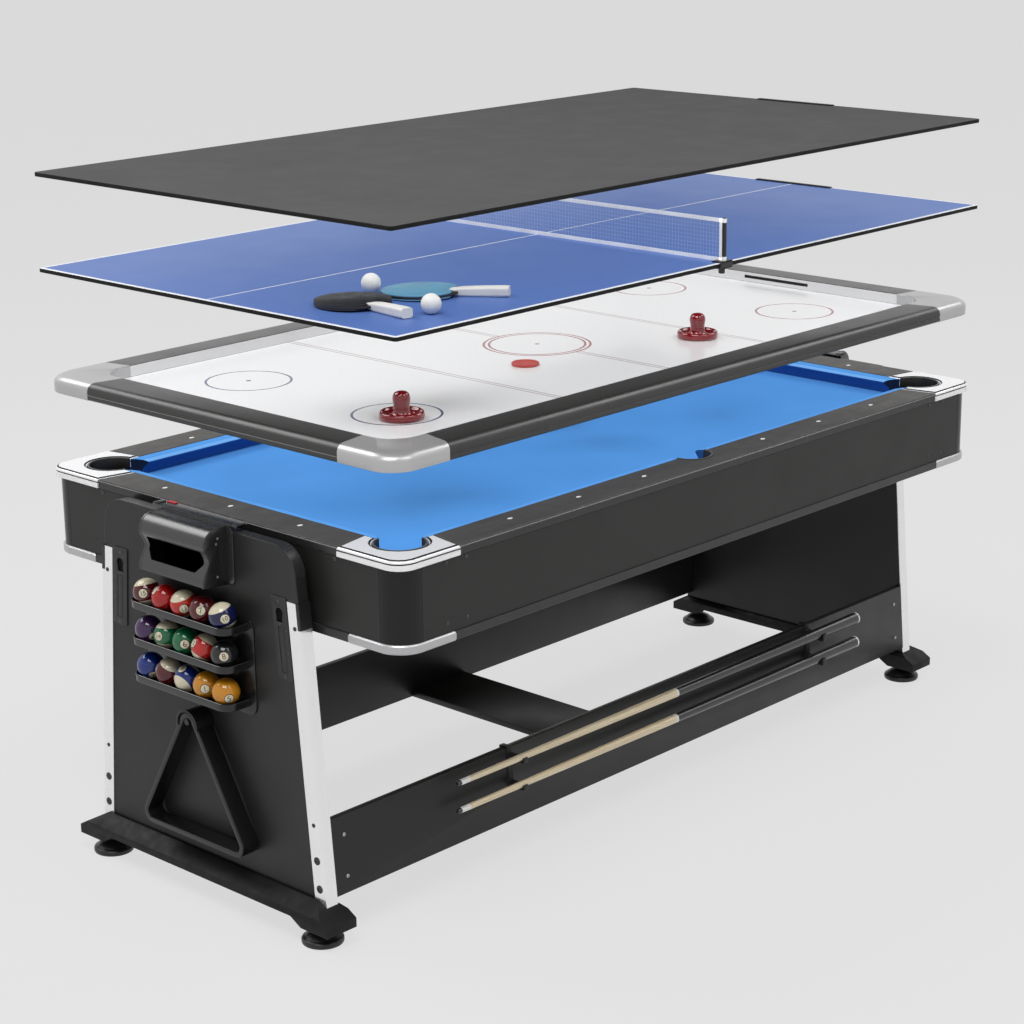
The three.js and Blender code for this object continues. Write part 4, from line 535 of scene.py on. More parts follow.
# Metals as colour, roughness and how metallic they are
METALS = {
    "hockey_silver": ((0.50, 0.50, 0.505), 0.34, 0.55),
    "hockey_wall": ((0.74, 0.74, 0.75), 0.40, 0.1),
    "casting_chrome": ((0.93, 0.93, 0.94), 0.14, 0.25),
    "lower_casting": ((0.50, 0.50, 0.51), 0.32, 0.6),
    "screw_black": ((0.08, 0.08, 0.08), 0.35, 0.6),
    "lock_screw": ((0.10, 0.10, 0.10), 0.3, 0.7),
    "trim_polish": ((0.90, 0.90, 0.91), 0.16, 0.8),
    "trim_screw": ((0.05, 0.05, 0.05), 0.35, 0.5),
    "board_screw": ((0.42, 0.42, 0.42), 0.3, 0.8),
    "hood_screw": ((0.30, 0.30, 0.30), 0.3, 0.8),
}

CLOTHS = {
    # Painted shade: the bed's cloth is a darker copy of the cushion cloth, standing in for the shade of the
    # layer above
    "pool_cloth": (0.083, 0.310, 0.745),
    "cushion_cloth": (0.094, 0.335, 0.785),
    # Painted shade: the cushion cloth darkened for the stretch under the nose
    "cushion_underside_cloth": (0.020, 0.105, 0.350),
    # Painted shade: the cushion cloth darkened to near navy on the facings at the pockets
    "pocket_facing": (0.008, 0.018, 0.050),
    # Painted highlight: a paler cushion cloth for the rounded nose
    "cushion_nose_cloth": (0.185, 0.450, 0.880),
}
CUSHION_CLOTHS = list(CLOTHS)[1:]

# Painted colours and wood
RAIL_BROWN = (0.060, 0.057, 0.053)
TENNIS_BLUE = (0.085, 0.165, 0.450)
LINE_WHITE = (0.80, 0.82, 0.86)
HOCKEY_WHITE = (0.90, 0.905, 0.92)
CUE_WOOD = (0.80, 0.69, 0.48)
CUE_GRAIN = (0.70, 0.56, 0.36)
FERRULE_WHITE = (0.82, 0.82, 0.80)
TIP_BLUE = (0.015, 0.020, 0.028)
BUTT_BLACK = (0.010, 0.010, 0.011)


# Outlines

def arc(x, y, radius, start, end):
    """Points of an arc about (x, y), from one angle to another in degrees."""
    steps = max(2, math.ceil(abs(end - start) / ARC_DEGREES))
    turn = [radians(start + (end - start) * i / steps) for i in range(steps + 1)]
    return [(x + radius * cos(a), y + radius * sin(a)) for a in turn]


def rounded(corners):
    """Closed outline through corners given as (x, y, radius)."""
    points = []
    for i, (x, y, radius) in enumerate(corners):
        here = Vector((x, y))
        if radius == 0:
            points.append((x, y))
            continue
        before = (Vector(corners[i - 1][:2]) - here).normalized()
        after = (Vector(corners[(i + 1) % len(corners)][:2]) - here).normalized()
        half = before.angle(after) / 2
        centre = here + (before + after).normalized() * radius / sin(half)
        start = here + before * radius / tan(half) - centre
        end = here + after * radius / tan(half) - centre
        first = math.degrees(math.atan2(start.y, start.x))
        sweep = (math.degrees(math.atan2(end.y, end.x)) - first + 180) % 360 - 180
        points += arc(centre.x, centre.y, radius, first, first + sweep)
    return points


def rectangle(x0, x1, y0, y1, radius=0):
    return rounded([(x0, y0, radius), (x1, y0, radius), (x1, y1, radius), (x0, y1, radius)])


def circle(x, y, radius):
    return arc(x, y, radius, 0, 360)[:-1]


def corner_arc(x, y, radius, start=0, end=90):
    """Arc that rounds a far back corner at (x, y)."""
    return arc(x - radius, y - radius, radius, start, end)


def leftward(loop, distance):
    """The loop moved to the left of its own direction."""
    moved = []
    for i, point in enumerate(loop):
        here = Vector(point)
        a = (here - Vector(loop[i - 1])).normalized()
        b = (Vector(loop[(i + 1) % len(loop)]) - here).normalized()
        normal = Vector((-a.y - b.y, a.x + b.x))
        share = max(normal.length_squared / 2, MITRE_SHARE)
        moved.append(here + normal * distance / share)
    return moved


def counter_clockwise(loop, wanted=True):
    area = sum(loop[i - 1][0] * p[1] - p[0] * loop[i - 1][1] for i, p in enumerate(loop))
    return list(loop) if (area > 0) == wanted else list(reversed(loop))


# Meshes

ALONG_X = Matrix(((0, 0, 1, 0), (1, 0, 0, 0), (0, 1, 0, 0), (0, 0, 0, 1)))
ALONG_Y = Matrix(((1, 0, 0, 0), (0, 0, 1, 0), (0, 1, 0, 0), (0, 0, 0, 1)))


def tidied(mesh):
    """The mesh with shared corners and its faces pointing out."""
    shape = bmesh.new()
    shape.from_mesh(mesh)
    bmesh.ops.remove_doubles(shape, verts=shape.verts, dist=WELD)
    bmesh.ops.recalc_face_normals(shape, faces=shape.faces)
    shape.to_mesh(mesh)
    shape.free()
    return mesh


def mesh_of(points, faces, to=None):
    mesh = bpy.data.meshes.new("shape")
    mesh.from_pydata([tuple(p) for p in points], [], faces)
    if to:
        mesh.transform(to)
    return tidied(mesh)


def rounding(low, high, edge, steps):
    """Levels (inset, height) of a plate's rounded edge."""
    levels = []
    for i in range(steps + 1):
        turn = pi / 2 * i / steps
        levels.append((edge * (1 - sin(turn)), low + edge * (1 - cos(turn))))
    return levels + [(inset, low + high - height) for inset, height in reversed(levels)]


def plate(loops, low, high, edge=EDGE, steps=2, to=None, levels=None):
    """A flat plate with rounded edges: the outer loop first, then its holes."""
    sides = [counter_clockwise(loop, i == 0) for i, loop in enumerate(loops)]
    levels = levels or rounding(low, high, edge, steps)
    points, faces, caps = [], [], {0: [], len(levels) - 1: []}
    for side in sides:
        count = len(side)
        first = len(points)
        for level, (inset, height) in enumerate(levels):
            ring = [Vector((p[0], p[1], height)) for p in leftward(side, inset)]
            if level in caps:
                caps[level].append((len(points), ring))
            points += ring
        for level in range(len(levels) - 1):
            for i in range(count):
                a = first + level * count + i
                b = first + level * count + (i + 1) % count
                faces.append((a, b, b + count, a + count))
    for rings in caps.values():
        index = [start + i for start, ring in rings for i in range(len(ring))]
        for triangle in tessellate_polygon([ring for _, ring in rings]):
            faces.append(tuple(index[i] for i in triangle))
    return mesh_of(points, faces, to)


def turned(profile, steps=ROUND_STEPS, to=None):
    """A profile of (radius, height) points turned about the upright axis, from which it starts."""
    points, faces = [], []
    for radius, height in profile:
        for i in range(steps):
            turn = 2 * pi * i / steps
            points.append((radius * cos(turn), radius * sin(turn), height))
    for level in range(len(profile) - 1):
        for i in range(steps):
            a = level * steps + i
            b = level * steps + (i + 1) % steps
            faces.append((a, b, b + steps, a + steps))
    if profile[-1][0] > 0:
        faces.append(tuple((len(profile) - 1) * steps + i for i in range(steps)))
    return mesh_of(points, faces, to)


def block(x, y, z, edge, steps=2, corner=0, to=None):
    """A box between pairs of places; x and y in any order."""
    return plate([rectangle(*sorted(x), *sorted(y), corner)], *z, edge, steps, to)


def rod(radius, low, high, steps=ROUND_STEPS):
    return turned([(0, low), (radius, low), (radius, high), (0, high)], steps)


def ball_of(radius):
    """A sphere about the origin."""
    turns = [pi * i / BALL_STEPS for i in range(BALL_STEPS + 1)]
    return turned([(radius * sin(turn), -radius * cos(turn)) for turn in turns])


def standing(node, profile):
    """A turned profile on the spot where a CAD node stands."""
    low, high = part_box(node)
    return moved(turned(profile), (low.x + high.x) / 2, (low.y + high.y) / 2, low.z)


def skin(rings):
    """A closed skin over rings of equal counts, capped at both ends."""
    count = len(rings[0])
    points = [p for ring in rings for p in ring]
    faces = []
    for level in range(len(rings) - 1):
        for i in range(count):
            a = level * count + i
            b = level * count + (i + 1) % count
            faces.append((a, b, b + count, a + count))
    for start, ring in ((0, rings[0]), ((len(rings) - 1) * count, rings[-1])):
        for triangle in tessellate_polygon([[Vector(p) for p in ring]]):
            faces.append(tuple(start + i for i in triangle))
    return mesh_of(points, faces)


def merged(meshes):
    shape = bmesh.new()
    for mesh in meshes:
        shape.from_mesh(mesh)
    whole = bpy.data.meshes.new("shape")
    shape.to_mesh(whole)
    shape.free()
    return whole


def mirrored(mesh, sign_x, sign_y):
    copy = mesh.copy()
    copy.transform(Matrix.Diagonal((sign_x, sign_y, 1, 1)))
    return tidied(copy)


def at_each(places, mesh):
    """One mesh of the images at all ends, sides or corners."""
    return merged([mirrored(mesh, *signs) for signs in places.values()])


def moved(mesh, x=0, y=0, z=0):
    mesh.transform(Matrix.Translation((x, y, z)))
    return mesh


def softened(node, width, steps=2, degrees=CREASE_DEGREES):
    """A fine copy of a CAD node: its flat faces whole and its edges rounded."""
    shape = bmesh.new()
    shape.from_mesh(frame["nodes"][node].data)
    bmesh.ops.remove_doubles(shape, verts=shape.verts, dist=WELD)
    flat = radians(FLAT_DEGREES)
    bmesh.ops.dissolve_limit(shape, angle_limit=flat, verts=shape.verts, edges=shape.edges)
    sharp = [e for e in shape.edges if e.is_manifold and e.calc_face_angle(0) > radians(degrees)]
    bmesh.ops.bevel(
        shape, geom=sharp, offset=width, segments=steps, profile=0.5, affect="EDGES",
        clamp_overlap=True,
    )
    mesh = bpy.data.meshes.new("shape")
    shape.to_mesh(mesh)
    shape.free()
    return mesh


def hollowed(mesh, *cutters):
    """The mesh less the cutters."""
    whole = bpy.data.objects.new("whole", mesh)
    bpy.context.scene.collection.objects.link(whole)
    tools = []
    for cutter in cutters:
        tool = bpy.data.objects.new("tool", cutter)
        bpy.context.scene.collection.objects.link(tool)
        step = whole.modifiers.new("cut", "BOOLEAN")
        step.operation = "DIFFERENCE"
        step.solver = "EXACT"
        step.object = tool
        tools.append(tool)
    graph = bpy.context.evaluated_depsgraph_get()
    result = bpy.data.meshes.new_from_object(whole.evaluated_get(graph))
    for used in [whole, *tools]:
        bpy.data.objects.remove(used)
    return result


def paint(mesh, index, chosen):
    """Gives material number index to the faces that chosen(centre, normal) picks."""
    for face in mesh.polygons:
        if chosen(face.center, face.normal):
            face.material_index = index
    return mesh


def add(name, mesh, materials, body, replaces=(), degrees=SMOOTH_DEGREES):
    """Puts a mesh in the scene as a piece on a body."""
    mesh.name = name
    for material in materials if isinstance(materials, list) else [materials]:
        mesh.materials.append(material)
    mesh.shade_smooth()
    mesh.set_sharp_from_angle(angle=radians(degrees))
    piece = bpy.data.objects.new(name, mesh)
    bpy.context.scene.collection.objects.link(piece)
    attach(piece, body)
    if replaces:
        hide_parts(*replaces)
    return piece


def add_each(places, name, mesh, materials, body, replaced="", degrees=SMOOTH_DEGREES):
    """Adds a mesh's mirror image at each end, side or corner, whose word goes into the names' braces."""
    pieces = []
    for place, signs in places.items():
        node = [replaced.format(place)] if replaced else ()
        image = mirrored(mesh, *signs)
        pieces.append(add(name.format(place), image, materials, body, node, degrees))
    return pieces


# Materials

def feed(tree, source, socket):
    """Links a socket to another node's output, or sets it to a value."""
    if hasattr(source, "is_output"):
        tree.links.new(source, socket)
    else:
        socket.default_value = source


def shader_node(tree, kind, inputs, **settings):
    """A new node of a kind, with its settings and with its sockets fed by name or number."""
    node = tree.nodes.new("ShaderNode" + kind)
    for name, value in settings.items():
        setattr(node, name, value)
    for name, source in inputs.items():
        feed(tree, source, node.inputs[name])
    return node


class Surface:
    """A principled material with helpers that add procedural detail in the piece's own coordinates."""

    def __init__(self, name, colour, roughness, **sockets):
        self.material = bpy.data.materials.new(name)
        self.material.use_nodes = True
        self.tree = self.material.node_tree
        self.shader = self.tree.nodes["Principled BSDF"]
        self.set("Base Color", (*colour, 1))
        self.set("Roughness", roughness)
        for socket, value in sockets.items():
            self.set(socket.replace("_", " "), value)
        self.colour = self.shader.inputs["Base Color"].default_value[:3]
        self.place = self.node("TexCoord", {}).outputs["Object"]
        self.x, self.y, self.z = self.node("SeparateXYZ", {0: self.place}).outputs

    def set(self, socket, value):
        self.shader.inputs[socket].default_value = value

    def node(self, kind, inputs, **settings):
        return shader_node(self.tree, kind, inputs, **settings)

    def link(self, source, socket):
        feed(self.tree, source, socket)

    def math(self, operation, *values):
        return self.node("Math", dict(enumerate(values)), operation=operation).outputs[0]

    def noise(self, scale, detail=2, stretch=(1, 1, 1)):
        mapping = self.node("Mapping", {0: self.place, "Scale": stretch})
        inputs = {"Vector": mapping.outputs[0], "Scale": scale, "Detail": detail}
        return self.node("TexNoise", inputs).outputs["Fac"]

    def range(self, value, low, high, to_low, to_high):
        return self.node("MapRange", dict(enumerate((value, low, high, to_low, to_high)))).outputs[0]

    def mix(self, share, first, second):
        node = self.node("Mix", {"Factor": share}, data_type="RGBA")
        first_socket, second_socket = [socket for socket in node.inputs if socket.type == "RGBA"]
        self.link(first if hasattr(first, "is_output") else (*first, 1), first_socket)
        self.link((*second, 1), second_socket)
        return next(socket for socket in node.outputs if socket.type == "RGBA")

    def vary(self, amount, scale, detail=3):
        """Lighter and darker patches of the base colour."""
        share = self.range(self.noise(scale, detail), *PATCH_SPREAD, 0, 1)
        dark = [c * (1 - amount) for c in self.colour]
        light = [min(c * (1 + amount), 1) for c in self.colour]
        return self.mix(share, dark, light)

    def coloured(self, colour):
        self.link(colour, self.shader.inputs["Base Color"])
        return self

    def rough(self, low, high, scale):
        share = self.range(self.noise(scale), *PATCH_SPREAD, low, high)
        self.link(share, self.shader.inputs["Roughness"])
        return self

    def bumped(self, height, distance, strength):
        bump = self.node("Bump", {"Height": height, "Distance": distance, "Strength": strength})
        self.link(bump.outputs[0], self.shader.inputs["Normal"])
        return self

    def near(self, value, centre, reach):
        return self.math("COMPARE", value, centre, reach)

    def either(self, *shares):
        whole = shares[0]
        for share in shares[1:]:
            whole = self.math("MAXIMUM", whole, share)
        return whole

    def distance(self, x, y):
        across = self.math("POWER", self.math("SUBTRACT", self.x, x), 2)
        along = self.math("POWER", self.math("SUBTRACT", self.y, y), 2)
        return self.math("SQRT", self.math("ADD", across, along))


def moulded(name):
    """Moulded plastic or rubber: fine grain and a little unevenness of gloss."""
    colour, roughness, grain, *gloss = MOULDED[name]
    sockets = {"Specular_IOR_Level": gloss[0]} if gloss else {}
    surface = Surface(name, colour, roughness, **sockets)
    surface.coloured(surface.vary(amount=0.10, scale=14))
    surface.rough(roughness * MOULDED_GLOSS_SHARES[0], min(roughness * MOULDED_GLOSS_SHARES[1], 1), scale=40)
    return surface.bumped(surface.noise(grain), MOULDED_BUMP, strength=0.15).material


def board(name):
    """Laminated board: flat, with a fine orange peel."""
    colour, roughness, grain, gloss = BOARDS[name]
    surface = Surface(name, colour, roughness, Specular_IOR_Level=gloss)
    surface.coloured(surface.vary(amount=0.03, scale=3, detail=4))
    surface.rough(*[roughness * share for share in BOARD_GLOSS_SHARES], scale=12)
    return surface.bumped(surface.noise(grain), BOARD_BUMP, strength=0.3).material


def metal(name):
    """Even metal or metal foil."""
    colour, roughness, metallic = METALS[name]
    surface = Surface(name, colour, roughness, Metallic=metallic)
    surface.coloured(surface.vary(amount=0.015, scale=5))
    return surface.rough(*[roughness * share for share in METAL_GLOSS_SHARES], scale=9).material


def cloth(name):
    """Napped worsted: fine fibres, a faint weave and a soft sheen."""
    colour = CLOTHS[name]
    sheen = {"Sheen_Weight": 0.04, "Sheen_Roughness": 0.5, "Specular_IOR_Level": 0.1}
    surface = Surface(name, colour, CLOTH_ROUGHNESS, **sheen)
    fibres = surface.noise(scale=1500, detail=3, stretch=(1, 0.6, 1))
    patches = surface.vary(amount=0.05, scale=5, detail=4)
    worn = [c * CLOTH_WORN_SHARE for c in colour]
    surface.coloured(surface.mix(surface.range(fibres, *PATCH_SPREAD, 0, 0.5), patches, worn))
    return surface.bumped(fibres, CLOTH_BUMP, strength=0.35).material


def laminate(name, colour):
    """Dark rail laminate with a faint grain along the table."""
    surface = Surface(name, colour, roughness=0.45, Specular_IOR_Level=0.3)
    grain = surface.noise(scale=60, detail=4, stretch=(0.08, 1, 1))
    dark, light = ([c * share for c in colour] for share in LAMINATE_TONE_SHARES)
    surface.coloured(surface.mix(surface.range(grain, *GRAIN_SPREAD, 0, 1), dark, light))
    surface.rough(low=0.4, high=0.5, scale=25)
    return surface.bumped(grain, LAMINATE_BUMP, strength=0.25).material


def glossy(name, colour):
    """Polished resin of the pool balls."""
    surface = Surface(name, colour, roughness=0.08, Specular_IOR_Level=0.6)
    surface.coloured(surface.vary(amount=0.05, scale=60))
    return surface.rough(low=0.05, high=0.09, scale=90).material


def pusher_gloss():
    surface = Surface("pusher_gloss", PUSHER_RED, roughness=0.12, Coat_Weight=0.7, Coat_Roughness=0.05)
    return surface.coloured(surface.vary(amount=0.06, scale=20)).material


def hood_plastic():
    surface = Surface("puck_box_plastic", HOOD_BLACK, roughness=0.27, Specular_IOR_Level=1)
    surface.rough(low=0.25, high=0.29, scale=25)
    return surface.coloured(surface.vary(amount=0.05, scale=20)).material


def tennis_paint(half_x, half_y):
    """Blue table tennis board with its white edge lines and centre line."""
    surface = Surface("tennis_paint", TENNIS_BLUE, roughness=0.42, Specular_IOR_Level=0.4)
    lines = surface.either(
        surface.math("GREATER_THAN", surface.math("ABSOLUTE", surface.x), half_x - TENNIS_BORDER),
        surface.math("GREATER_THAN", surface.math("ABSOLUTE", surface.y), half_y - TENNIS_BORDER),
        surface.near(surface.y, 0, TENNIS_CENTRE_LINE),
    )
    ground = surface.vary(amount=0.015, scale=3, detail=4)
    surface.coloured(surface.mix(lines, ground, LINE_WHITE))
    surface.rough(low=0.41, high=0.45, scale=8)
    return surface.bumped(surface.noise(scale=700), TENNIS_BUMP, strength=0.2).material


def hockey_paint():
    """White field with its circles and cross lines, and rows of air holes painted grey as shade."""
    surface = Surface("hockey_paint", HOCKEY_WHITE, roughness=0.22, Coat_Weight=0.3, Coat_Roughness=0.08)
    near_rings, far_rings = [], []
    for y in (-FACE_CIRCLE_Y, FACE_CIRCLE_Y):
        for rings, x in ((near_rings, -FACE_CIRCLE_X), (far_rings, FACE_CIRCLE_X)):
            reach = surface.distance(x, y)
            rings.append(surface.near(reach, FACE_CIRCLE, RING_LINE))
            rings.append(surface.math("LESS_THAN", reach, FIELD_DOT))
    middle = surface.distance(0, 0)
    red = surface.either(
        *far_rings,
        surface.near(middle, CENTRE_CIRCLE, RING_LINE),
        surface.near(middle, CENTRE_CIRCLE - LINE_PAIR_GAP, RING_LINE),
        surface.math("LESS_THAN", middle, FIELD_DOT),
    )
    across = surface.math("ABSOLUTE", surface.x)
    centre_pair = surface.math(
        "MULTIPLY", surface.near(across, LINE_PAIR_GAP / 2, FIELD_LINE),
        surface.math("GREATER_THAN", middle, CENTRE_CIRCLE),
    )
    cross_pairs = [surface.near(across, x, FIELD_LINE) for x in (CROSS_LINE_X, CROSS_LINE_X + LINE_PAIR_GAP)]
    dull = surface.either(centre_pair, *cross_pairs)
    cell = [surface.math("PINGPONG", value, AIR_HOLE_PITCH / 2) for value in (surface.x, surface.y)]
    span = surface.math("SQRT", surface.math("ADD", *[surface.math("POWER", c, 2) for c in cell]))
    # Painted shade: the air holes are darkened grey in the field's colour
    hole = surface.math("LESS_THAN", span, AIR_HOLE_RADIUS)
    colour = surface.vary(amount=0.012, scale=3, detail=4)
    areas = {"dull": dull, "red": red, "navy": surface.either(*near_rings), "hole": hole}
    for name, where in areas.items():
        share, paint_colour = FIELD_PAINTS[name]
        colour = surface.mix(surface.math("MULTIPLY", where, share), colour, paint_colour)
    surface.coloured(colour)
    return surface.bumped(surface.math("SUBTRACT", 1, hole), AIR_HOLE_DEPTH, strength=0.5).material


def cue_finish(tip_x, end_x):
    """Ash shaft with ferrule and tip, and a black butt from the joint on."""
    surface = Surface("cue_finish", CUE_WOOD, roughness=0.28, Coat_Weight=0.5, Coat_Roughness=0.12)
    grain = surface.noise(scale=240, detail=4, stretch=(0.02, 1, 1))
    colour = surface.mix(surface.range(grain, *GRAIN_SPREAD, 0, 1), CUE_WOOD, CUE_GRAIN)
    layers = [
        (surface.math("LESS_THAN", surface.x, tip_x + CUE_TIP + CUE_FERRULE), FERRULE_WHITE),
        (surface.math("LESS_THAN", surface.x, tip_x + CUE_TIP), TIP_BLUE),
        (surface.math("GREATER_THAN", surface.x, CUE_JOINT_X), BUTT_BLACK),
        (surface.near(surface.x, CUE_JOINT_X, CUE_RING), FERRULE_WHITE),
        (surface.math("GREATER_THAN", surface.x, end_x - BUTT_CAP), FERRULE_WHITE),
    ]
    for where, paint_colour in layers:
        colour = surface.mix(where, colour, paint_colour)
    return surface.coloured(colour).material


# Stage

def look_from_photograph():
    yaw, pitch, roll = radians(CAMERA_YAW), radians(CAMERA_PITCH), radians(CAMERA_ROLL)
    ahead = Vector((cos(pitch) * cos(yaw), cos(pitch) * sin(yaw), sin(pitch)))
    right = ahead.cross(Vector((0, 0, 1))).normalized()
    up = right.cross(ahead)
    leaned_right = right * cos(roll) + up * sin(roll)
    leaned_up = up * cos(roll) - right * sin(roll)
    data = bpy.data.cameras.new("camera")
    data.lens = CAMERA_LENS
    data.sensor_width = CAMERA_SENSOR
    data.clip_end = CAMERA_REACH
    camera = bpy.data.objects.new("camera", data)
    turn = Matrix((leaned_right, leaned_up, -ahead)).transposed()
    camera.matrix_world = Matrix.Translation(CAMERA_PLACE) @ turn.to_4x4()
    bpy.context.scene.collection.objects.link(camera)
    bpy.context.scene.camera = camera


def lamp(name, azimuth, elevation, size, power):
    """A square soft lamp aimed at the middle of the table; azimuth 0 stands on -Y."""
    a, e = radians(azimuth), radians(elevation)
    back = Vector((sin(a) * cos(e), -cos(a) * cos(e), sin(e)))
    data = bpy.data.lights.new(name, "AREA")
    data.shape = "SQUARE"
    data.size = size
    data.energy = power
    light = bpy.data.objects.new(name, data)
    middle = (cad_box[0] + cad_box[1]) / 2
    light.location = middle + back * LAMP_DISTANCE
    light.rotation_euler = back.to_track_quat("Z", "Y").to_euler()
    bpy.context.scene.collection.objects.link(light)


def light_stage():
    for name, settings in LAMPS.items():
        lamp(name, *settings)
    world = bpy.data.worlds.new("studio")
    world.use_nodes = True
    tree = world.node_tree
    place = shader_node(tree, "TexCoord", {})
    split = shader_node(tree, "SeparateXYZ", {0: place.outputs["Generated"]})
    ceiling = dict(enumerate((split.outputs["Z"], *CEILING_RISE, 1, CEILING_SHARE)))
    strength = shader_node(tree, "MapRange", ceiling).outputs[0]
    path = shader_node(tree, "LightPath", {})
    for ray, value in (("Is Diffuse Ray", AMBIENT_SHARE), ("Is Camera Ray", 1), ("Is Transmission Ray", 1)):
        choice = {"Factor": path.outputs[ray], "A": strength, "B": value}
        strength = shader_node(tree, "Mix", choice).outputs["Result"]
    background = tree.nodes["Background"].inputs
    feed(tree, (*BACKDROP, 1), background["Color"])
    feed(tree, strength, background["Strength"])
    bpy.context.scene.world = world


def let_light_pass(pieces):
    """Lights each lifted layer evenly, as in the photograph: these pieces throw no lamp shadow."""
    passing = bpy.data.collections.new("passing")
    for piece in pieces:
        passing.objects.link(piece)
    for member in passing.collection_objects:
        member.light_linking.link_state = "EXCLUDE"
    for thing in bpy.context.scene.objects:
        if thing.type == "LIGHT":
            thing.light_linking.blocker_collection = passing


def lay_floor():
    """Pale floor that shows the backdrop's tone and keeps a share of the shadow."""
    half = FLOOR_HALF
    mesh = mesh_of([(-half, -half, 0), (half, -half, 0), (half, half, 0), (-half, half, 0)], [(0, 1, 2, 3)])
    material = bpy.data.materials.new("floor")
    material.use_nodes = True
    tree = material.node_tree
    diffuse = tree.nodes["Principled BSDF"]
    feed(tree, (*FLOOR_GREY, 1), diffuse.inputs["Base Color"])
    feed(tree, FLOOR_ROUGHNESS, diffuse.inputs["Roughness"])
    glow = shader_node(tree, "Emission", {"Color": (*BACKDROP, 1)})
    path = shader_node(tree, "LightPath", {})
    rays = {0: path.outputs["Is Camera Ray"], 1: path.outputs["Is Glossy Ray"]}
    seen = shader_node(tree, "Math", rays, operation="MAXIMUM")
    share = shader_node(tree, "MapRange", {"Value": seen.outputs[0], "To Max": FLOOR_GLOW_SHARE})
    shaders = {0: share.outputs[0], 1: diffuse.outputs[0], 2: glow.outputs[0]}
    mix = shader_node(tree, "MixShader", shaders)
    feed(tree, mix.outputs[0], tree.nodes["Material Output"].inputs["Surface"])
    mesh.materials.append(material)
    floor = bpy.data.objects.new("floor", mesh)
    bpy.context.scene.collection.objects.link(floor)


# Small fasteners

def screw_mesh(place, axis, radius, height=SCREW_HEIGHT):
    """A low domed screw head with a socket, at a place, facing along an axis."""
    head = turned([(radius * wide, height * up) for wide, up in SCREW_SHARES], SMALL_STEPS)
    head.transform(Vector(axis).to_track_quat("Z", "Y").to_matrix().to_4x4())
    return moved(head, *place)


def corner_screws(screws):
    """The screws of the far back corner, each a place, an axis and sizes, at all four corners."""
    heads = []
    for sx, sy in CORNERS.values():
        for (x, y, z), (across, along, up), *sizes in screws:
            heads.append(screw_mesh((sx * x, sy * y, z), (sx * across, sy * along, up), *sizes))
    return merged(heads)


def leg_edge(z):
    """Outer face of the leaning legs at a height, as a distance from the middle."""
    low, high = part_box("leg_trim_far_back")
    return LEG_FOOT_HALF + (LEG_TOP_HALF - LEG_FOOT_HALF) * (z - low.z) / (high.z - low.z)


# Dining and tennis layers

def board_top(kind, top):
    """A layer's board with its dark edge, and the raised strip at its far end."""
    low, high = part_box(f"{kind}_top")
    level = high.z - STRIP_RISE
    edge = moulded(f"{kind}_edge")
    slab = block((low.x, high.x), (low.y, high.y), (low.z, level), TOP_EDGE, corner=TOP_CORNER_RADIUS)
    paint(slab, 1, lambda centre, normal: normal.z < UPWARD_SHARE)
    add(f"{kind}_board", slab, [top, edge], f"{kind}_layer", [f"{kind}_top"], PLATE_DEGREES)
    across = (high.x - STRIP_WIDTH, high.x - EDGE)
    strip = block(across, (-STRIP_HALF, STRIP_HALF), (level - EDGE, high.z), EDGE / 2, corner=EDGE)
    add(f"{kind}_board_strip", strip, edge, f"{kind}_layer")


def tennis_layer():
    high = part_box("tennis_top")[1]
    level = high.z - STRIP_RISE
    board_top("tennis", tennis_paint(high.x, high.y))
    tennis_net(level)
    for name in BAT_HEADINGS:
        bat(name, level)
    white = moulded("celluloid")
    for name in ("tennis_ball_near", "tennis_ball_front"):
        low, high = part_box(name)
        ball = moved(ball_of((high.z - low.z) / 2), *(low + high) / 2)
        add(name + "_shell", ball, white, name + "_body", [name], ROUND_DEGREES)


def tennis_net(level):
    """White tapes round a fine cord mesh, with a post and a clamp at each side."""
    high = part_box("tennis_net")[1]
    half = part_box("tennis_top")[1].y - NET_POST_RADIUS * 2
    bottom, top = level + SKIN, high.z - CUT_OVERRUN
    length, width = 2 * half, top - bottom
    columns, rows = round(length / NET_MESH), round(width / NET_MESH)
    thread, thick = NET_THREAD / 2, NET_TAPE_THICKNESS / 2
    threads, tapes, holders = [], [], []
    for i in range(1, columns):
        y = -half + length * i / columns
        threads.append(block((-thread, thread), (y - thread, y + thread), (bottom, top), 0, 1))
    for i in range(1, rows):
        z = bottom + width * i / rows
        threads.append(block((-thread, thread), (z - thread, z + thread), (-half, half), 0, 1, to=ALONG_Y))
    for z in (bottom, top - NET_TAPE_HEIGHT):
        span = (z, z + NET_TAPE_HEIGHT)
        tapes.append(block((-thick, thick), span, (-half, half), 0, 1, thick / 2, ALONG_Y))
    for sign in (-1, 1):
        span = (sign * half, sign * (half - NET_TAPE_HEIGHT))
        tapes.append(block((-thick, thick), span, (bottom, top), 0, 1, thick / 2))
    for sign in (-1, 1):
        post_y = sign * (half + NET_POST_RADIUS)
        post = turned([
            (0, bottom), (NET_POST_RADIUS, bottom), (NET_POST_RADIUS, high.z - EDGE),
            (NET_POST_RADIUS - EDGE, high.z), (0, high.z),
        ], SMALL_STEPS)
        holders += [moved(post, y=post_y), *net_clamp(sign, bottom)]
        for z in (bottom + NET_JAW, high.z - NET_TAPE_HEIGHT - EDGE):
            band = rod(NET_POST_RADIUS + SKIN, 0, NET_TAPE_HEIGHT, SMALL_STEPS)
            tapes.append(moved(band, 0, post_y, z))
    bands = paint(merged(tapes), 1, lambda centre, normal: True)
    white, cord = moulded("net_tape"), moulded("net_cord")
    net = merged([*threads, bands])
    net = add("net_sheet", net, [cord, white], "tennis_layer", ["tennis_net"])
    add("net_holders", merged(holders), moulded("net_post"), "tennis_layer")


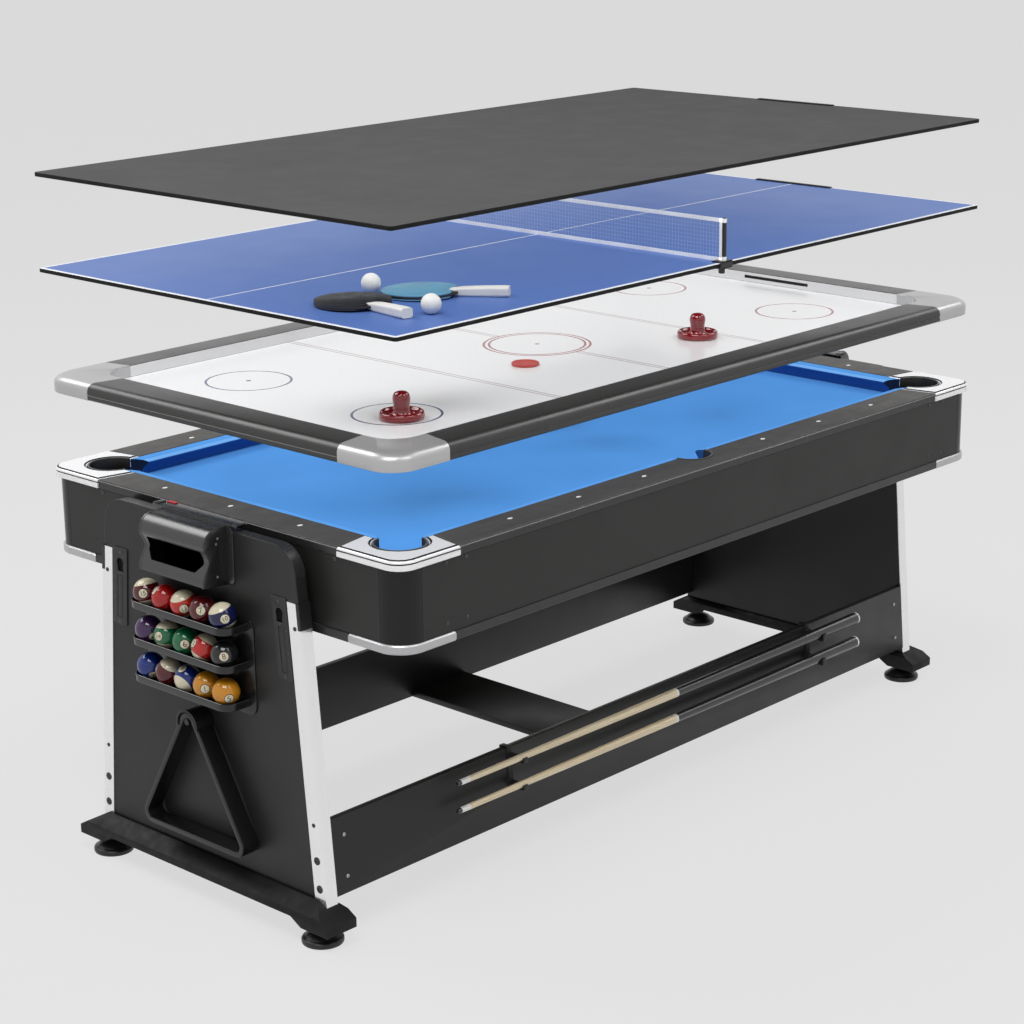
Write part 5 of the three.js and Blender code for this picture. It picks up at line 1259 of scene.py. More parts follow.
def net_clamp(sign, bottom):
    """Two jaws over the board's edge, the back that joins them and the knob below."""
    low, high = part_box("tennis_top")
    under = low.z - SKIN
    outer = sign * (high.y + SKIN + NET_CLAMP_THICKNESS)
    inner = outer - sign * NET_CLAMP_REACH
    width = (-NET_CLAMP_HALF, NET_CLAMP_HALF)
    jaws = [
        block(width, (inner, outer), z, FINE_EDGE, corner=NET_JAW)
        for z in ((bottom, bottom + NET_JAW), (under - NET_JAW, under))
    ]
    wall = (outer, outer - sign * NET_CLAMP_THICKNESS)
    back = block(width, wall, (under - NET_JAW, bottom + NET_JAW), FINE_EDGE, corner=FINE_EDGE)
    knob = moved(turned(NET_KNOB_PROFILE, SMALL_STEPS), 0, (inner + outer) / 2, under - NET_JAW)
    return [*jaws, back, knob]


def blade_outline():
    turns = [2 * pi * i / BLADE_STEPS for i in range(BLADE_STEPS)]
    return [(BLADE_HALF_LENGTH * cos(turn), BLADE_HALF_WIDTH * sin(turn)) for turn in turns]


def bat(name, level):
    """Bat with ply, sponge and rubber on both faces, and a flared handle."""
    heading = radians(BAT_HEADINGS[name])
    ply, face = BLADE_PLY / 2, BLADE_PLY / 2 + BLADE_SPONGE
    outline = blade_outline()
    blade = plate([outline], -ply, ply, BLADE_EDGE)
    trimmed = [(min(x, BLADE_HALF_LENGTH - RUBBER_GAP), y) for x, y in outline]
    rubbers = merged([plate([trimmed], *heights, BLADE_EDGE) for heights in ((ply, face), (-face, -ply))])
    rings = []
    for x, wide, deep in HANDLE_STATIONS:
        half, depth = BAT_HANDLE_HALF * wide, BAT_HANDLE_DEPTH / 2 * deep
        ring = rectangle(-half, half, -depth, depth, min(half, depth) * HANDLE_ROUND_SHARE)
        rings.append([(x, a, b) for a, b in ring])
    lean = math.atan((BAT_HANDLE_DEPTH / 2 - face) / (BAT_HANDLE_END + BLADE_HALF_LENGTH))
    rise = BAT_HANDLE_DEPTH / 2 + 2 * SKIN - sin(lean) * BAT_HANDLE_END
    to = Matrix.Translation((*bat_middle(name, heading), level + rise))
    to = to @ Matrix.Rotation(heading, 4, "Z") @ Matrix.Rotation(-lean, 4, "Y")
    parts = [("blade", blade, "bat_ply", [name]), ("faces", rubbers, name + "_rubber", ())]
    parts.append(("handle", skin(rings), "bat_grip", ()))
    for part, mesh, finish, replaces in parts:
        mesh.transform(to)
        add(f"{name}_{part}", mesh, moulded(finish), name + "_body", replaces)


def bat_middle(name, heading):
    """Where the blade's middle lies in the bat's own box, whose handle end reaches furthest one way."""
    low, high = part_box(name)
    along = Vector((cos(heading), sin(heading)))
    side = Vector((-along.y, along.x))
    handle = [(BAT_HANDLE_END, -BAT_HANDLE_HALF), (BAT_HANDLE_END, BAT_HANDLE_HALF)]
    points = [along * a + side * b for a, b in handle + blade_outline()]
    span = [(min(p[i] for p in points), max(p[i] for p in points)) for i in (0, 1)]
    return [(low[i] + high[i] - span[i][0] - span[i][1]) / 2 for i in (0, 1)]


# Air hockey layer

def hockey_size():
    """Half length, half width, base level and height of the rail frame."""
    low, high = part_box("hockey_frame")
    return high.x, high.y, low.z, high.z - low.z


def hockey_layer():
    hockey_rails()
    hockey_liners()
    casting = hockey_corner()
    silver = metal("hockey_silver")
    add_each(CORNERS, "hockey_corner_{}_cast", casting, silver, "hockey_layer",
             "hockey_corner_{}", BEND_DEGREES)
    hockey_field()
    red = pusher_gloss()
    for name in ("pusher_near", "pusher_far"):
        mesh = standing(name, PUSHER_PROFILE)
        add(name + "_moulding", mesh, red, name + "_body", [name], ROUND_DEGREES)
    mesh = standing("puck", PUCK_PROFILE)
    add("puck_disc", mesh, moulded("puck_plastic"), "puck_body", ["puck"])


def rail_profile(height):
    """Section of an air hockey rail as (distance in from the outer face, height)."""
    turns = [radians(turn) for turn in RAIL_SHOULDER_TURNS]
    shoulder = [
        (RAIL_SHOULDER * (1 - cos(turn)), RAIL_FACE + (height - RAIL_FACE) * sin(turn)) for turn in turns
    ]
    inner = HOCKEY_RAIL_WIDTH - HOCKEY_LINER
    top = [(HOCKEY_RAIL_WIDTH - RAIL_LIP, height), (inner, height - RAIL_LIP / 2), (inner, 0)]
    return [*HOCKEY_RAIL_FOOT, *shoulder, *top]


def mitred_rail(sign, outer, joint, mitre, across=False):
    """A straight rail along X, or across along Y, its section drawn in at both ends to the mitre."""
    _, _, base, height = hockey_size()
    rings = []
    for end in (-1, 1):
        ring = [
            (end * (joint - mitre * d / HOCKEY_RAIL_WIDTH), sign * (outer - d), base + h)
            for d, h in rail_profile(height)
        ]
        rings.append([(y, x, z) for x, y, z in ring] if across else ring)
    return skin(rings)


def goal_slot(sign, inner, depth):
    """Cutter for a goal's slot, from just inside the rail to a depth."""
    base = hockey_size()[2]
    reach = (sign * (inner - CUT_OVERRUN), sign * (inner + depth))
    return block(reach, (-GOAL_HALF, GOAL_HALF), (base + GOAL_SLOT_BOTTOM, base + GOAL_SLOT_TOP), 0, 1)


def hockey_rails():
    """Side and end rails with the goal slots, and the frame's plain corners."""
    half_x, half_y, _, _ = hockey_size()
    rails = []
    for sign in (-1, 1):
        rails.append(mitred_rail(sign, half_y, HOCKEY_SIDE_JOINT, HOCKEY_SIDE_MITRE))
        end = mitred_rail(sign, half_x, HOCKEY_END_JOINT, HOCKEY_END_MITRE, across=True)
        rails.append(hollowed(end, goal_slot(sign, half_x - HOCKEY_RAIL_WIDTH, GOAL_DEPTH)))
    rails.append(at_each(CORNERS, core_corner()))
    foil = board("hockey_rail_foil")
    add("hockey_rails", merged(rails), foil, "hockey_layer", ["hockey_frame"], RAIL_DEGREES)


def core_corner():
    """The frame's plain far back corner, under its casting."""
    half_x, half_y, base, _ = hockey_size()
    wall = HOCKEY_CORNER_WALL
    x0, x1 = HOCKEY_SIDE_JOINT - HOCKEY_SIDE_MITRE - CUT_OVERRUN, half_x - wall
    y0, y1 = HOCKEY_END_JOINT - HOCKEY_END_MITRE - CUT_OVERRUN, half_y - wall
    inner_x, inner_y = half_x - HOCKEY_RAIL_WIDTH + wall, half_y - HOCKEY_RAIL_WIDTH + wall
    outline = rounded([
        (x0, y1, 0), (x0, inner_y, 0), (inner_x, inner_y, HOCKEY_FILLET_RADIUS + wall),
        (inner_x, y0, 0), (x1, y0, 0), (x1, y1, HOCKEY_CORNER_RADIUS - wall),
    ])
    return plate([outline], base, base + HOCKEY_CORNER_CORE - SKIN, SKIN, 1)


def hockey_liners():
    """Thin inner walls of the rails, open at the goals."""
    half_x, half_y, base, height = hockey_size()
    inner_x, inner_y = half_x - HOCKEY_RAIL_WIDTH, half_y - HOCKEY_RAIL_WIDTH
    side, end = HOCKEY_SIDE_JOINT - HOCKEY_SIDE_MITRE, HOCKEY_END_JOINT - HOCKEY_END_MITRE
    levels = (base + FIELD_RISE + SKIN, base + height - EDGE)
    liners = []
    for sign in (-1, 1):
        wall = (sign * inner_y, sign * (inner_y + HOCKEY_LINER))
        liners.append(block((-side, side), wall, levels, SKIN, 1))
        wall = (sign * inner_x, sign * (inner_x + HOCKEY_LINER))
        slot = goal_slot(sign, inner_x, HOCKEY_LINER + CUT_OVERRUN)
        liners.append(hollowed(block(wall, (-end, end), levels, SKIN, 1), slot))
    add("hockey_liners", merged(liners), metal("hockey_wall"), "hockey_layer")


def hockey_corner():
    """Far back corner casting: the rail's section led round the corner, with a plain shoulder."""
    half_x, half_y, base, height = hockey_size()
    width, wall = HOCKEY_RAIL_WIDTH, HOCKEY_CORNER_WALL
    joint_x, joint_y = HOCKEY_SIDE_JOINT + SKIN, HOCKEY_END_JOINT + SKIN
    outer = [
        (joint_x, half_y), *corner_arc(half_x, half_y, HOCKEY_CORNER_RADIUS, 90, 0), (half_x, joint_y),
    ]
    inner_x, inner_y = half_x - width, half_y - width
    inner = [
        (joint_x - HOCKEY_SIDE_MITRE, inner_y), *corner_arc(inner_x, inner_y, HOCKEY_FILLET_RADIUS, 90, 0),
        (inner_x, joint_y - HOCKEY_END_MITRE),
    ]
    field = FIELD_RISE + SKIN
    section = [
        *HOCKEY_CORNER_FACE, (HOCKEY_CORNER_SHOULDER, height), (width - SOFT_EDGE, height),
        (width, height - SOFT_EDGE), (width, field), (width - wall, field),
        (width - wall, HOCKEY_CORNER_CORE), (wall, HOCKEY_CORNER_CORE), (wall, 0),
    ]
    rings = []
    for (ax, ay), (bx, by) in zip(outer, inner):
        rings.append([
            (ax + (bx - ax) * d / width, ay + (by - ay) * d / width, base + h) for d, h in section
        ])
    return skin(rings)


def hockey_field():
    """Painted sheet on its air plenum, with the blower below."""
    half_x, half_y, base, _ = hockey_size()
    under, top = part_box("hockey_field")[0].z, base + FIELD_RISE
    x, y = half_x - HOCKEY_RAIL_WIDTH - SKIN, half_y - HOCKEY_RAIL_WIDTH - SKIN
    sheet = block((-x, x), (-y, y), (top - FIELD_SHEET, top), SKIN, 1, HOCKEY_FILLET_RADIUS)
    add("hockey_sheet", sheet, hockey_paint(), "hockey_layer", ["hockey_field"],
        PLATE_DEGREES)
    x, y = PLENUM_HALF
    tray = block((-x, x), (-y, y), (under, top - FIELD_SHEET), SOFT_EDGE, corner=PLENUM_CORNER)
    tray = hollowed(tray, rod(BLOWER_HOLE_RADIUS, under - CUT_OVERRUN, base))
    add("hockey_plenum", tray, board("plenum_board"), "hockey_layer")
    can = softened("blower", FINE_EDGE)
    add("blower_can", can, moulded("blower_plastic"), "hockey_layer", ["blower"])


# Pool rails, castings and cloth

def throat_half():
    """Half width of a corner pocket's throat, where its circle meets the rails' inner faces."""
    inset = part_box("rail_back")[0].y - CORNER_POCKET_PLACE[1]
    return (sqrt(CORNER_POCKET_RADIUS ** 2 - inset ** 2) + inset) / sqrt(2)


def pool_rails():
    """Laminate rails round the side pockets, with their edge lines and pearl sights."""
    low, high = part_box("rail_back")
    end_low, end_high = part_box("rail_far")
    radius = SIDE_POCKET_RADIUS + SKIN
    dip = low.y - SIDE_POCKET_Y
    chord = sqrt(radius ** 2 - dip ** 2)
    start = math.degrees(math.atan2(dip, chord))
    side = [
        (-high.x, high.y), (-high.x + RAIL_MITRE, low.y), (-chord, low.y),
        *arc(0, SIDE_POCKET_Y, radius, 180 - start, start)[1:-1],
        (chord, low.y), (high.x - RAIL_MITRE, low.y), (high.x, high.y),
    ]
    inner, outer, reach = end_low.x, end_high.x, end_high.y
    end = [(inner, -reach + RAIL_MITRE), (outer, -reach), (outer, reach), (inner, reach - RAIL_MITRE)]
    foil = [laminate("rail_foil", RAIL_BROWN), moulded("rail_edge")]
    for places, outline, heights in ((SIDES, side, (low.z, high.z)), (ENDS, end, (end_low.z, end_high.z))):
        mesh = plate([outline], *heights, SOFT_EDGE, 3)
        paint(mesh, 1, lambda centre, normal: abs(normal.z) < SIDEWAYS_SHARE)
        add_each(places, "rail_{}_board", mesh, foil, "stand", "rail_{}", PLATE_DEGREES)
    heights = (high.z - T_EDGE_DROP, high.z - T_EDGE_DROP + T_EDGE_HEIGHT)
    strips, sights = [], []
    for sign in (-1, 1):
        wall = (sign * (high.y - EDGE), sign * (high.y + T_EDGE_PROUD))
        strips.append(block((-high.x, high.x), wall, heights, T_EDGE_ROUND, 1))
        wall = (sign * (outer - EDGE), sign * (outer + T_EDGE_PROUD))
        strips.append(block(wall, (-reach, reach), heights, T_EDGE_ROUND, 1))
        sights += [sight(x, sign * (high.y - SIGHT_INSET), high.z) for x in SIDE_SIGHTS]
        sights += [sight(sign * (outer - SIGHT_INSET), y, high.z) for y in END_SIGHTS]
    add("rail_t_edges", merged(strips), moulded("t_edge"), "stand")
    add("rail_sights", merged(sights), moulded("sight_pearl"), "stand")


def sight(x, y, level):
    disc = turned(SIGHT_SHARES, BALL_STEPS)
    disc.transform(Matrix.Diagonal((SIGHT_HALF_LENGTH, SIGHT_HALF_WIDTH, SIGHT_RISE, 1)))
    return moved(disc, x, y, level)


def casting_mesh():
    """Chromed casting over the far back corner, cut round for the pocket, with grooves painted dark as a
    reflection.
    """
    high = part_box("corner_pocket_far_back")[1]
    rail_low, rail_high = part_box("rail_back")
    end_low, end_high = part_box("rail_far")
    radius = CORNER_POCKET_RADIUS - SKIN
    side_joint, end_joint = rail_high.x + SKIN, end_high.y + SKIN
    start = math.degrees(math.asin((rail_low.y - CORNER_POCKET_PLACE[1]) / radius))
    outline = [
        (side_joint - RAIL_MITRE, rail_low.y), *arc(*CORNER_POCKET_PLACE, radius, 180 - start, start - 90),
        (end_low.x, end_joint - RAIL_MITRE), (end_high.x, end_joint), (high.x, end_joint),
        *corner_arc(high.x, high.y, CASTING_CORNER_RADIUS), (side_joint, high.y),
    ]
    bottom, top = rail_low.z, high.z
    levels = [(CASTING_FOOT, bottom), (0, bottom + CASTING_FOOT)]
    levels += [(inset, top - drop) for inset, drop in CASTING_EDGE]
    mesh = plate([outline], bottom, top, levels=levels)
    # Painted reflection: the bands of the grooves get the near-black material
    for upper, lower in CASTING_REFLECTION_BANDS:
        paint(mesh, 1, lambda centre, normal: top - lower < centre.z < top - upper)
    return mesh


def cup_mesh(radius, bottom, bed, top, opened, facing):
    """Ball cup about the origin: whole below the bed, and above it open by an angle towards facing."""
    inner, floor = radius - POCKET_WALL, bottom + POCKET_WALL
    lower = turned([
        (0, bottom), (radius - CUP_FOOT, bottom), (radius, bottom + CUP_FOOT), (radius, bed), (inner, bed),
        (inner, floor + POCKET_WALL), (inner - POCKET_WALL, floor), (0, floor),
    ])
    top -= CUP_LIP_RISE + SKIN
    start, end = facing + opened, facing + 360 - opened
    outer = arc(0, 0, radius, start, end)
    upper = plate([outer + arc(0, 0, inner, end, start)], bed - SKIN, top, CUP_EDGE)
    lip = plate([outer + arc(0, 0, radius - CUP_LIP, end, start)], top - SKIN, top + CUP_LIP_RISE, SKIN, 1)
    return paint(merged([lower, upper, lip]), 1, lambda centre, normal: centre.z > top)


def pockets():
    chrome = [metal("casting_chrome"), moulded("casting_groove")]
    black = [moulded("cup_rubber"), moulded("cup_lip")]
    add_each(CORNERS, "corner_pocket_{}_casting", casting_mesh(), chrome, "stand",
             "corner_pocket_{}", BEND_DEGREES)
    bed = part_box("pool_bed")[1].z
    low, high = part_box("corner_pocket_far_back")
    opened = math.degrees(math.asin(throat_half() / CORNER_POCKET_RADIUS))
    cup = cup_mesh(CORNER_POCKET_RADIUS - SKIN, low.z, bed, high.z, opened, CORNER_CUP_TURN)
    moved(cup, *CORNER_POCKET_PLACE)
    add_each(CORNERS, "corner_pocket_{}_cup", cup, black, "stand", degrees=CUP_DEGREES)
    low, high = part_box("side_cup_back")
    cup = moved(cup_mesh(SIDE_POCKET_RADIUS, low.z, bed, high.z, 90, 270), y=SIDE_POCKET_Y)
    add_each(SIDES, "side_cup_{}_rubber", cup, black, "stand", "side_cup_{}", CUP_DEGREES)


def pool_bed():
    """The bed's slab with the cloth stretched on it, both with the six pocket holes."""
    low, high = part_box("pool_bed")
    x, y = CORNER_POCKET_PLACE
    holes = [circle(0, sign * SIDE_POCKET_Y, SIDE_POCKET_RADIUS) for sign in (-1, 1)]
    holes += [circle(sx * x, sy * y, CORNER_POCKET_RADIUS) for sx, sy in CORNERS.values()]
    outline = rectangle(low.x, high.x, low.y, high.y, CABINET_CORNER_RADIUS - APRON_THICKNESS)
    seam = high.z - CLOTH_THICKNESS
    slab = plate([outline, *holes], low.z, seam, SKIN, 1)
    add("bed_slab", slab, board("bed_board"), "stand", ["pool_bed"], PLATE_DEGREES)
    sheet = plate([outline, *holes], seam, high.z, 0, 1)
    # The bed's cloth carries painted shade: a darker copy of the cushion cloth
    spread = add("bed_cloth", sheet, cloth("pool_cloth"), "stand", (), PLATE_DEGREES)


def cushion_section(outer, inner, bed, top):
    """Rubber cushion's section as (place across, height) points, with a soft nose."""
    nose, back, under = inner - CUSHION_WIDTH, inner - SKIN, top - CUSHION_STEP
    return [
        (outer, bed), (outer, under), (back, under), (back, top - EDGE),
        *[(nose + out, top - drop) for out, drop in CUSHION_NOSE], (nose + CUSHION_FOOT, bed),
    ]


def cushions():
    """Cloth-covered cushions, cut aslant at the corner pockets and round at the side ones."""
    bed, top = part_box("pool_bed")[1].z + SKIN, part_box("rail_back")[1].z
    half = throat_half() + SKIN
    heights = (bed - CUT_OVERRUN, top + CUTTER_RISE)
    throat = block(THROAT_SPAN, (-half, half), heights, 0, 1)
    throat.transform(Matrix.Rotation(pi / 4, 4, "Z"))
    moved(throat, *CORNER_POCKET_PLACE)
    bite = moved(rod(SIDE_POCKET_RADIUS + SKIN, *heights), y=SIDE_POCKET_Y)
    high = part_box("cushion_back")[1]
    section = cushion_section(high.y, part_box("rail_back")[0].y, bed, top)
    halves = []
    for sign in (-1, 1):
        places = (sign * SIDE_POCKET_RADIUS, sign * high.x)
        mesh = skin([[(x, y, z) for y, z in section] for x in places])
        halves.append(hollowed(mesh, mirrored(throat, sign, 1), bite))
    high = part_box("cushion_far")[1]
    section = cushion_section(high.x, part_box("rail_far")[0].x, bed, top)
    mesh = skin([[(x, y, z) for x, z in section] for y in (-high.y, high.y)])
    end = hollowed(mesh, *[mirrored(throat, 1, sign) for sign in (-1, 1)])
    blues = [cloth(name) for name in CUSHION_CLOTHS]
    for places, mesh in ((SIDES, merged(halves)), (ENDS, end)):
        pads = add_each(places, "cushion_{}_pad", shaded_cushion(mesh), blues, "stand",
                        "cushion_{}")


def shaded_cushion(mesh):
    """The cloth's darker stretch below the nose and the dark facings at the pockets, both painted shade, and
    the paler nose, a painted highlight.
    """
    # Painted highlight: the sloping faces of the nose get the paler cloth
    paint(mesh, 3, lambda centre, normal: NOSE_HIGHLIGHT_TILTS[0] < normal.z < NOSE_HIGHLIGHT_TILTS[1])
    # Painted shade: faces that turn downward get the darker cushion cloth
    paint(mesh, 1, lambda centre, normal: normal.z < UNDERSIDE_SHADE_TILT)
    # Painted shade: faces cut aslant at the pockets get the dark navy cloth
    return paint(mesh, 2, lambda centre, normal: min(abs(normal.x), abs(normal.y)) > FACING_SHADE_TURN)


# Cabinet

def cabinet_half():
    """Half sizes of the cabinet's outer faces, without the lower castings."""
    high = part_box("side_apron_back")[1]
    return high.x - LOWER_CORNER_PROUD, high.y - LOWER_CORNER_PROUD


def trim_outline(seam):
    """Plan of the long back side's lower trim with both rounded corners, down to a seam on each end."""
    half_x, half_y = (half + LOWER_TRIM_PROUD for half in cabinet_half())
    radius = CABINET_CORNER_RADIUS + LOWER_TRIM_PROUD
    x, y, r = (size - LOWER_TRIM_THICKNESS for size in (half_x, half_y, radius))
    return [
        (half_x, seam), *corner_arc(half_x, half_y, radius),
        *arc(radius - half_x, half_y - radius, radius, 90, 180), (-half_x, seam),
        (-x, seam), *arc(r - x, y - r, r, 180, 90), *corner_arc(x, y, r, 90, 0), (x, seam),
    ]


def post_outline():
    """Plan of the far back corner post, with a short flat arm each way."""
    half_x, half_y = cabinet_half()
    radius = CABINET_CORNER_RADIUS
    end_x, end_y = (half - radius - POST_ARM + SKIN for half in (half_x, half_y))
    x, y = half_x - APRON_THICKNESS, half_y - APRON_THICKNESS
    return [
        (half_x, end_y), *corner_arc(half_x, half_y, radius), (end_x, half_y),
        (end_x, y), *corner_arc(x, y, radius - APRON_THICKNESS, 90, 0), (x, end_y),
    ]


def cabinet():
    """Aprons and rounded corner posts, with the lower trim and castings, the pivots and the screws."""
    low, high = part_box("side_apron_back")
    half_x, half_y = cabinet_half()
    arm_x, arm_y = high.x - LOWER_CORNER_ARM, high.y - LOWER_CORNER_ARM
    seam_x, seam_y = (half - CABINET_CORNER_RADIUS - POST_ARM - SKIN for half in (half_x, half_y))
    bottom = low.z + LOWER_TRIM_HEIGHT
    heights, trim_heights = (bottom, high.z), (low.z, bottom - SKIN)
    side = block((-seam_x, seam_x), (half_y - APRON_THICKNESS, half_y), heights, FINE_EDGE)
    side_trim = plate([trim_outline(arm_y)], *trim_heights, SOFT_EDGE)
    end = block((half_x - APRON_THICKNESS, half_x), (-seam_y, seam_y), heights, FINE_EDGE)
    outer = half_x + LOWER_TRIM_PROUD
    end_trim = block((outer - LOWER_TRIM_THICKNESS, outer), (SKIN - arm_y, arm_y - SKIN), trim_heights,
                     SOFT_EDGE)
    boss = turned([
        (0, 0), (PIVOT_BOSS_RADIUS - SOFT_EDGE, 0), (PIVOT_BOSS_RADIUS, SOFT_EDGE), (PIVOT_BOSS_RADIUS, 1),
        (0, 1),
    ])
    boss.transform(Matrix.Diagonal((1, 1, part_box("end_panel_far")[0].x - SKIN - half_x, 1)))
    boss.transform(ALONG_X)
    moved(boss, half_x, 0, PIVOT_HEIGHT)
    casting = lower_corner(arm_x, arm_y, low.z, bottom)
    post = plate([post_outline()], *heights, FINE_EDGE)
    black, trim = board("apron_foil"), moulded("lower_trim_black")
    for places, name, mesh, look, node, degrees in (
        (SIDES, "side_apron_{}_board", side, black, "side_apron_{}", PLATE_DEGREES),
        (SIDES, "side_apron_{}_trim", side_trim, trim, "", PLATE_DEGREES),
        (CORNERS, "lower_corner_{}", casting, metal("lower_casting"), "", SMOOTH_DEGREES),
        (CORNERS, "corner_post_{}", post, board("post_foil"), "", PLATE_DEGREES),
        (ENDS, "end_apron_{}_board", end, black, "end_apron_{}", PLATE_DEGREES),
        (ENDS, "end_apron_{}_boss", boss, trim, "", SMOOTH_DEGREES),
        (ENDS, "end_apron_{}_trim", end_trim, trim, "", PLATE_DEGREES),
    ):
        add_each(places, name, mesh, look, "stand", node, degrees)
    cabinet_screws()


def lower_corner(arm_x, arm_y, bottom, top):
    """Lower corner casting of the far back corner, with rounded arm ends."""
    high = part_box("side_apron_back")[1]
    radius = CABINET_CORNER_RADIUS + LOWER_CORNER_PROUD
    centre = Vector((high.x - radius, high.y - radius))
    path = [
        (high.x, arm_y), (high.x, arm_y + LOWER_CORNER_LIP), *corner_arc(high.x, high.y, radius),
        (arm_x + LOWER_CORNER_LIP, high.y), (arm_x, high.y),
    ]
    rings = []
    for i, (x, y) in enumerate(path):
        inward = (centre - Vector((x, y))).normalized()
        if y <= centre.y:
            inward = Vector((-1, 0))
        elif x <= centre.x:
            inward = Vector((0, -1))
        drop, face = LOWER_CORNER_END if i in (0, len(path) - 1) else (0, 0)
        soft, depth = face + LOWER_CORNER_ROUND, LOWER_CORNER_DEPTH
        low, high_z = bottom + drop, top - drop
        section = [
            (depth, low + SKIN), (soft, low), (face, low + LOWER_CORNER_ROUND),
            (face, high_z - LOWER_CORNER_ROUND), (soft, high_z), (depth, high_z - SKIN),
        ]
        rings.append([(x + inward.x * d, y + inward.y * d, z) for d, z in section])
    return skin(rings)


def cabinet_screws():
    """Screws of the end aprons and the corner posts."""
    half_x, half_y = cabinet_half()
    screws = [((half_x, APRON_SCREW_Y, POST_SCREW_HEIGHTS[0]), (1, 0, 0), APRON_SCREW_RADIUS)]
    for x in POST_SCREWS_X:
        screws += [((x, half_y, z), (0, 1, 0), POST_SCREW_RADIUS) for z in POST_SCREW_HEIGHTS]
    add("cabinet_screws", corner_screws(screws), metal("screw_black"), "stand")


# Stand

def panel_outline():
    """Outline (y, z) of an end panel, its leaning edges inside the leg trims."""
    low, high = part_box("leg_trim_far_back")
    foot, knee = (leg_edge(z) - TRIM_THICKNESS - SKIN for z in (low.z, high.z))
    radius = PANEL_SHOULDER_RADIUS
    y, z = PANEL_HEAD_HALF - radius, PANEL_TOP - radius
    return [
        (-foot, low.z), (foot, low.z), (knee, high.z), *arc(y, z, radius, 0, 90),
        *arc(-y, z, radius, 90, 180), (-knee, high.z),
    ]


def stand():
    low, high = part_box("end_panel_far")
    outer = high.x - LOCK_PLATE_THICKNESS
    foil = board("panel_foil")
    loops = [panel_outline(), circle(0, PIVOT_HEIGHT, PIVOT_HOLE_RADIUS)]
    mesh = plate(loops, low.x, outer, TOP_EDGE, to=ALONG_X)
    paint(mesh, 1, lambda centre, normal: abs(normal.x) < SIDEWAYS_SHARE and centre.z > PANEL_LIP_BOTTOM)
    add_each(ENDS, "end_panel_{}_board", mesh, [foil, moulded("panel_edge")], "stand",
             "end_panel_{}", PLATE_DEGREES)
    lock_plates(outer)
    leg_trims()
    foot_beams()
    levellers()
    boards(foil)


def lock_y(sign, inward, z):
    """Place across of a point that lies inward from a lock plate's outer edge."""
    return sign * (leg_edge(z) - LOCK_PLATE_EDGE_GAP - inward)


def lock_outline(sign, near, far, bottom, top, corner):
    """Rounded outline between two distances from the plate's outer edge, leaning with the leg."""
    places = ((far, bottom), (near, bottom), (near, top), (far, top))
    return rounded([(lock_y(sign, inward, z), z, corner) for inward, z in places])


def lock_plates(outer):
    """Screwed-on plates with a rimmed keyhole and slot, the bar that fills the slot, and a near-black sheet
    under each plate that shows in the holes as painted shade.
    """
    face, centre = outer + LOCK_PLATE_THICKNESS, LOCK_PLATE_WIDTH / 2
    heights = (LOCK_PLATE_BOTTOM, LOCK_PLATE_TOP)
    plates, recesses, rims, screws = [], [], [], []
    for sign in (-1, 1):
        outline = lock_outline(sign, 0, LOCK_PLATE_WIDTH, *heights, LOCK_PLATE_CORNER)
        sides = (centre - LOCK_SLOT_HALF, centre + LOCK_SLOT_HALF)
        slot = lock_outline(sign, *sides, LOCK_SLOT_BOTTOM, LOCK_SLOT_TOP, LOCK_SLOT_CORNER)
        hole, foot = lock_y(sign, centre, KEYHOLE_HEIGHT), KEYHOLE_HEIGHT - KEYHOLE_LENGTH
        keyhole = arc(hole, KEYHOLE_HEIGHT, KEYHOLE_RADIUS, *KEYHOLE_TURN)
        keyhole += [(hole - KEYHOLE_FOOT_HALF, foot), (hole + KEYHOLE_FOOT_HALF, foot)]
        bar = leftward(counter_clockwise(slot), LOCK_BAR_GAP)
        for loops in ([outline, keyhole, slot], [bar]):
            plates.append(plate(loops, outer, face, FINE_EDGE, to=ALONG_X))
        inner = leftward(counter_clockwise(outline), SOFT_EDGE)
        # Painted shade: a near-black sheet inside the plate, seen only through the keyhole and round the bar
        recesses.append(plate([inner], outer, outer + LOCK_RECESS_RISE, LOCK_RECESS_EDGE, 1, to=ALONG_X))
        for edge in (counter_clockwise(keyhole), counter_clockwise(slot)):
            loops = [leftward(edge, -LOCK_RIM), edge]
            rims.append(plate(loops, face - SKIN, face + LOCK_RIM_RISE, SKIN, 1, to=ALONG_X))
        for inward, z, radius, height in LOCK_SCREWS:
            screws.append(screw_mesh((face, lock_y(sign, inward, z), z), (1, 0, 0), radius, height))
    for name, parts, look in (
        ("plate", plates, moulded("lock_plate")), ("recess", recesses, moulded("lock_recess")),
        ("rims", rims, moulded("lock_rim")), ("screws", screws, metal("lock_screw")),
    ):
        add_each(ENDS, f"lock_{name}_" + "{}", merged(parts), look, "stand")


def trim_ring(z, proud=0, reach=TRIM_FACE_WIDTH):
    """Section of the far back leg trim at a height: a face on the panel's end and a flange on its edge."""
    low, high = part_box("leg_trim_far_back")
    x, y, wall = high.x + proud, leg_edge(z) + proud, TRIM_THICKNESS + proud
    outline = rounded([
        (low.x, y - wall, 0), (low.x, y, 0), (x, y, TRIM_ROUND), (x, y - reach, 0),
        (x - wall, y - reach, 0), (x - wall, y - wall, 0),
    ])
    return [(*point, z) for point in outline]


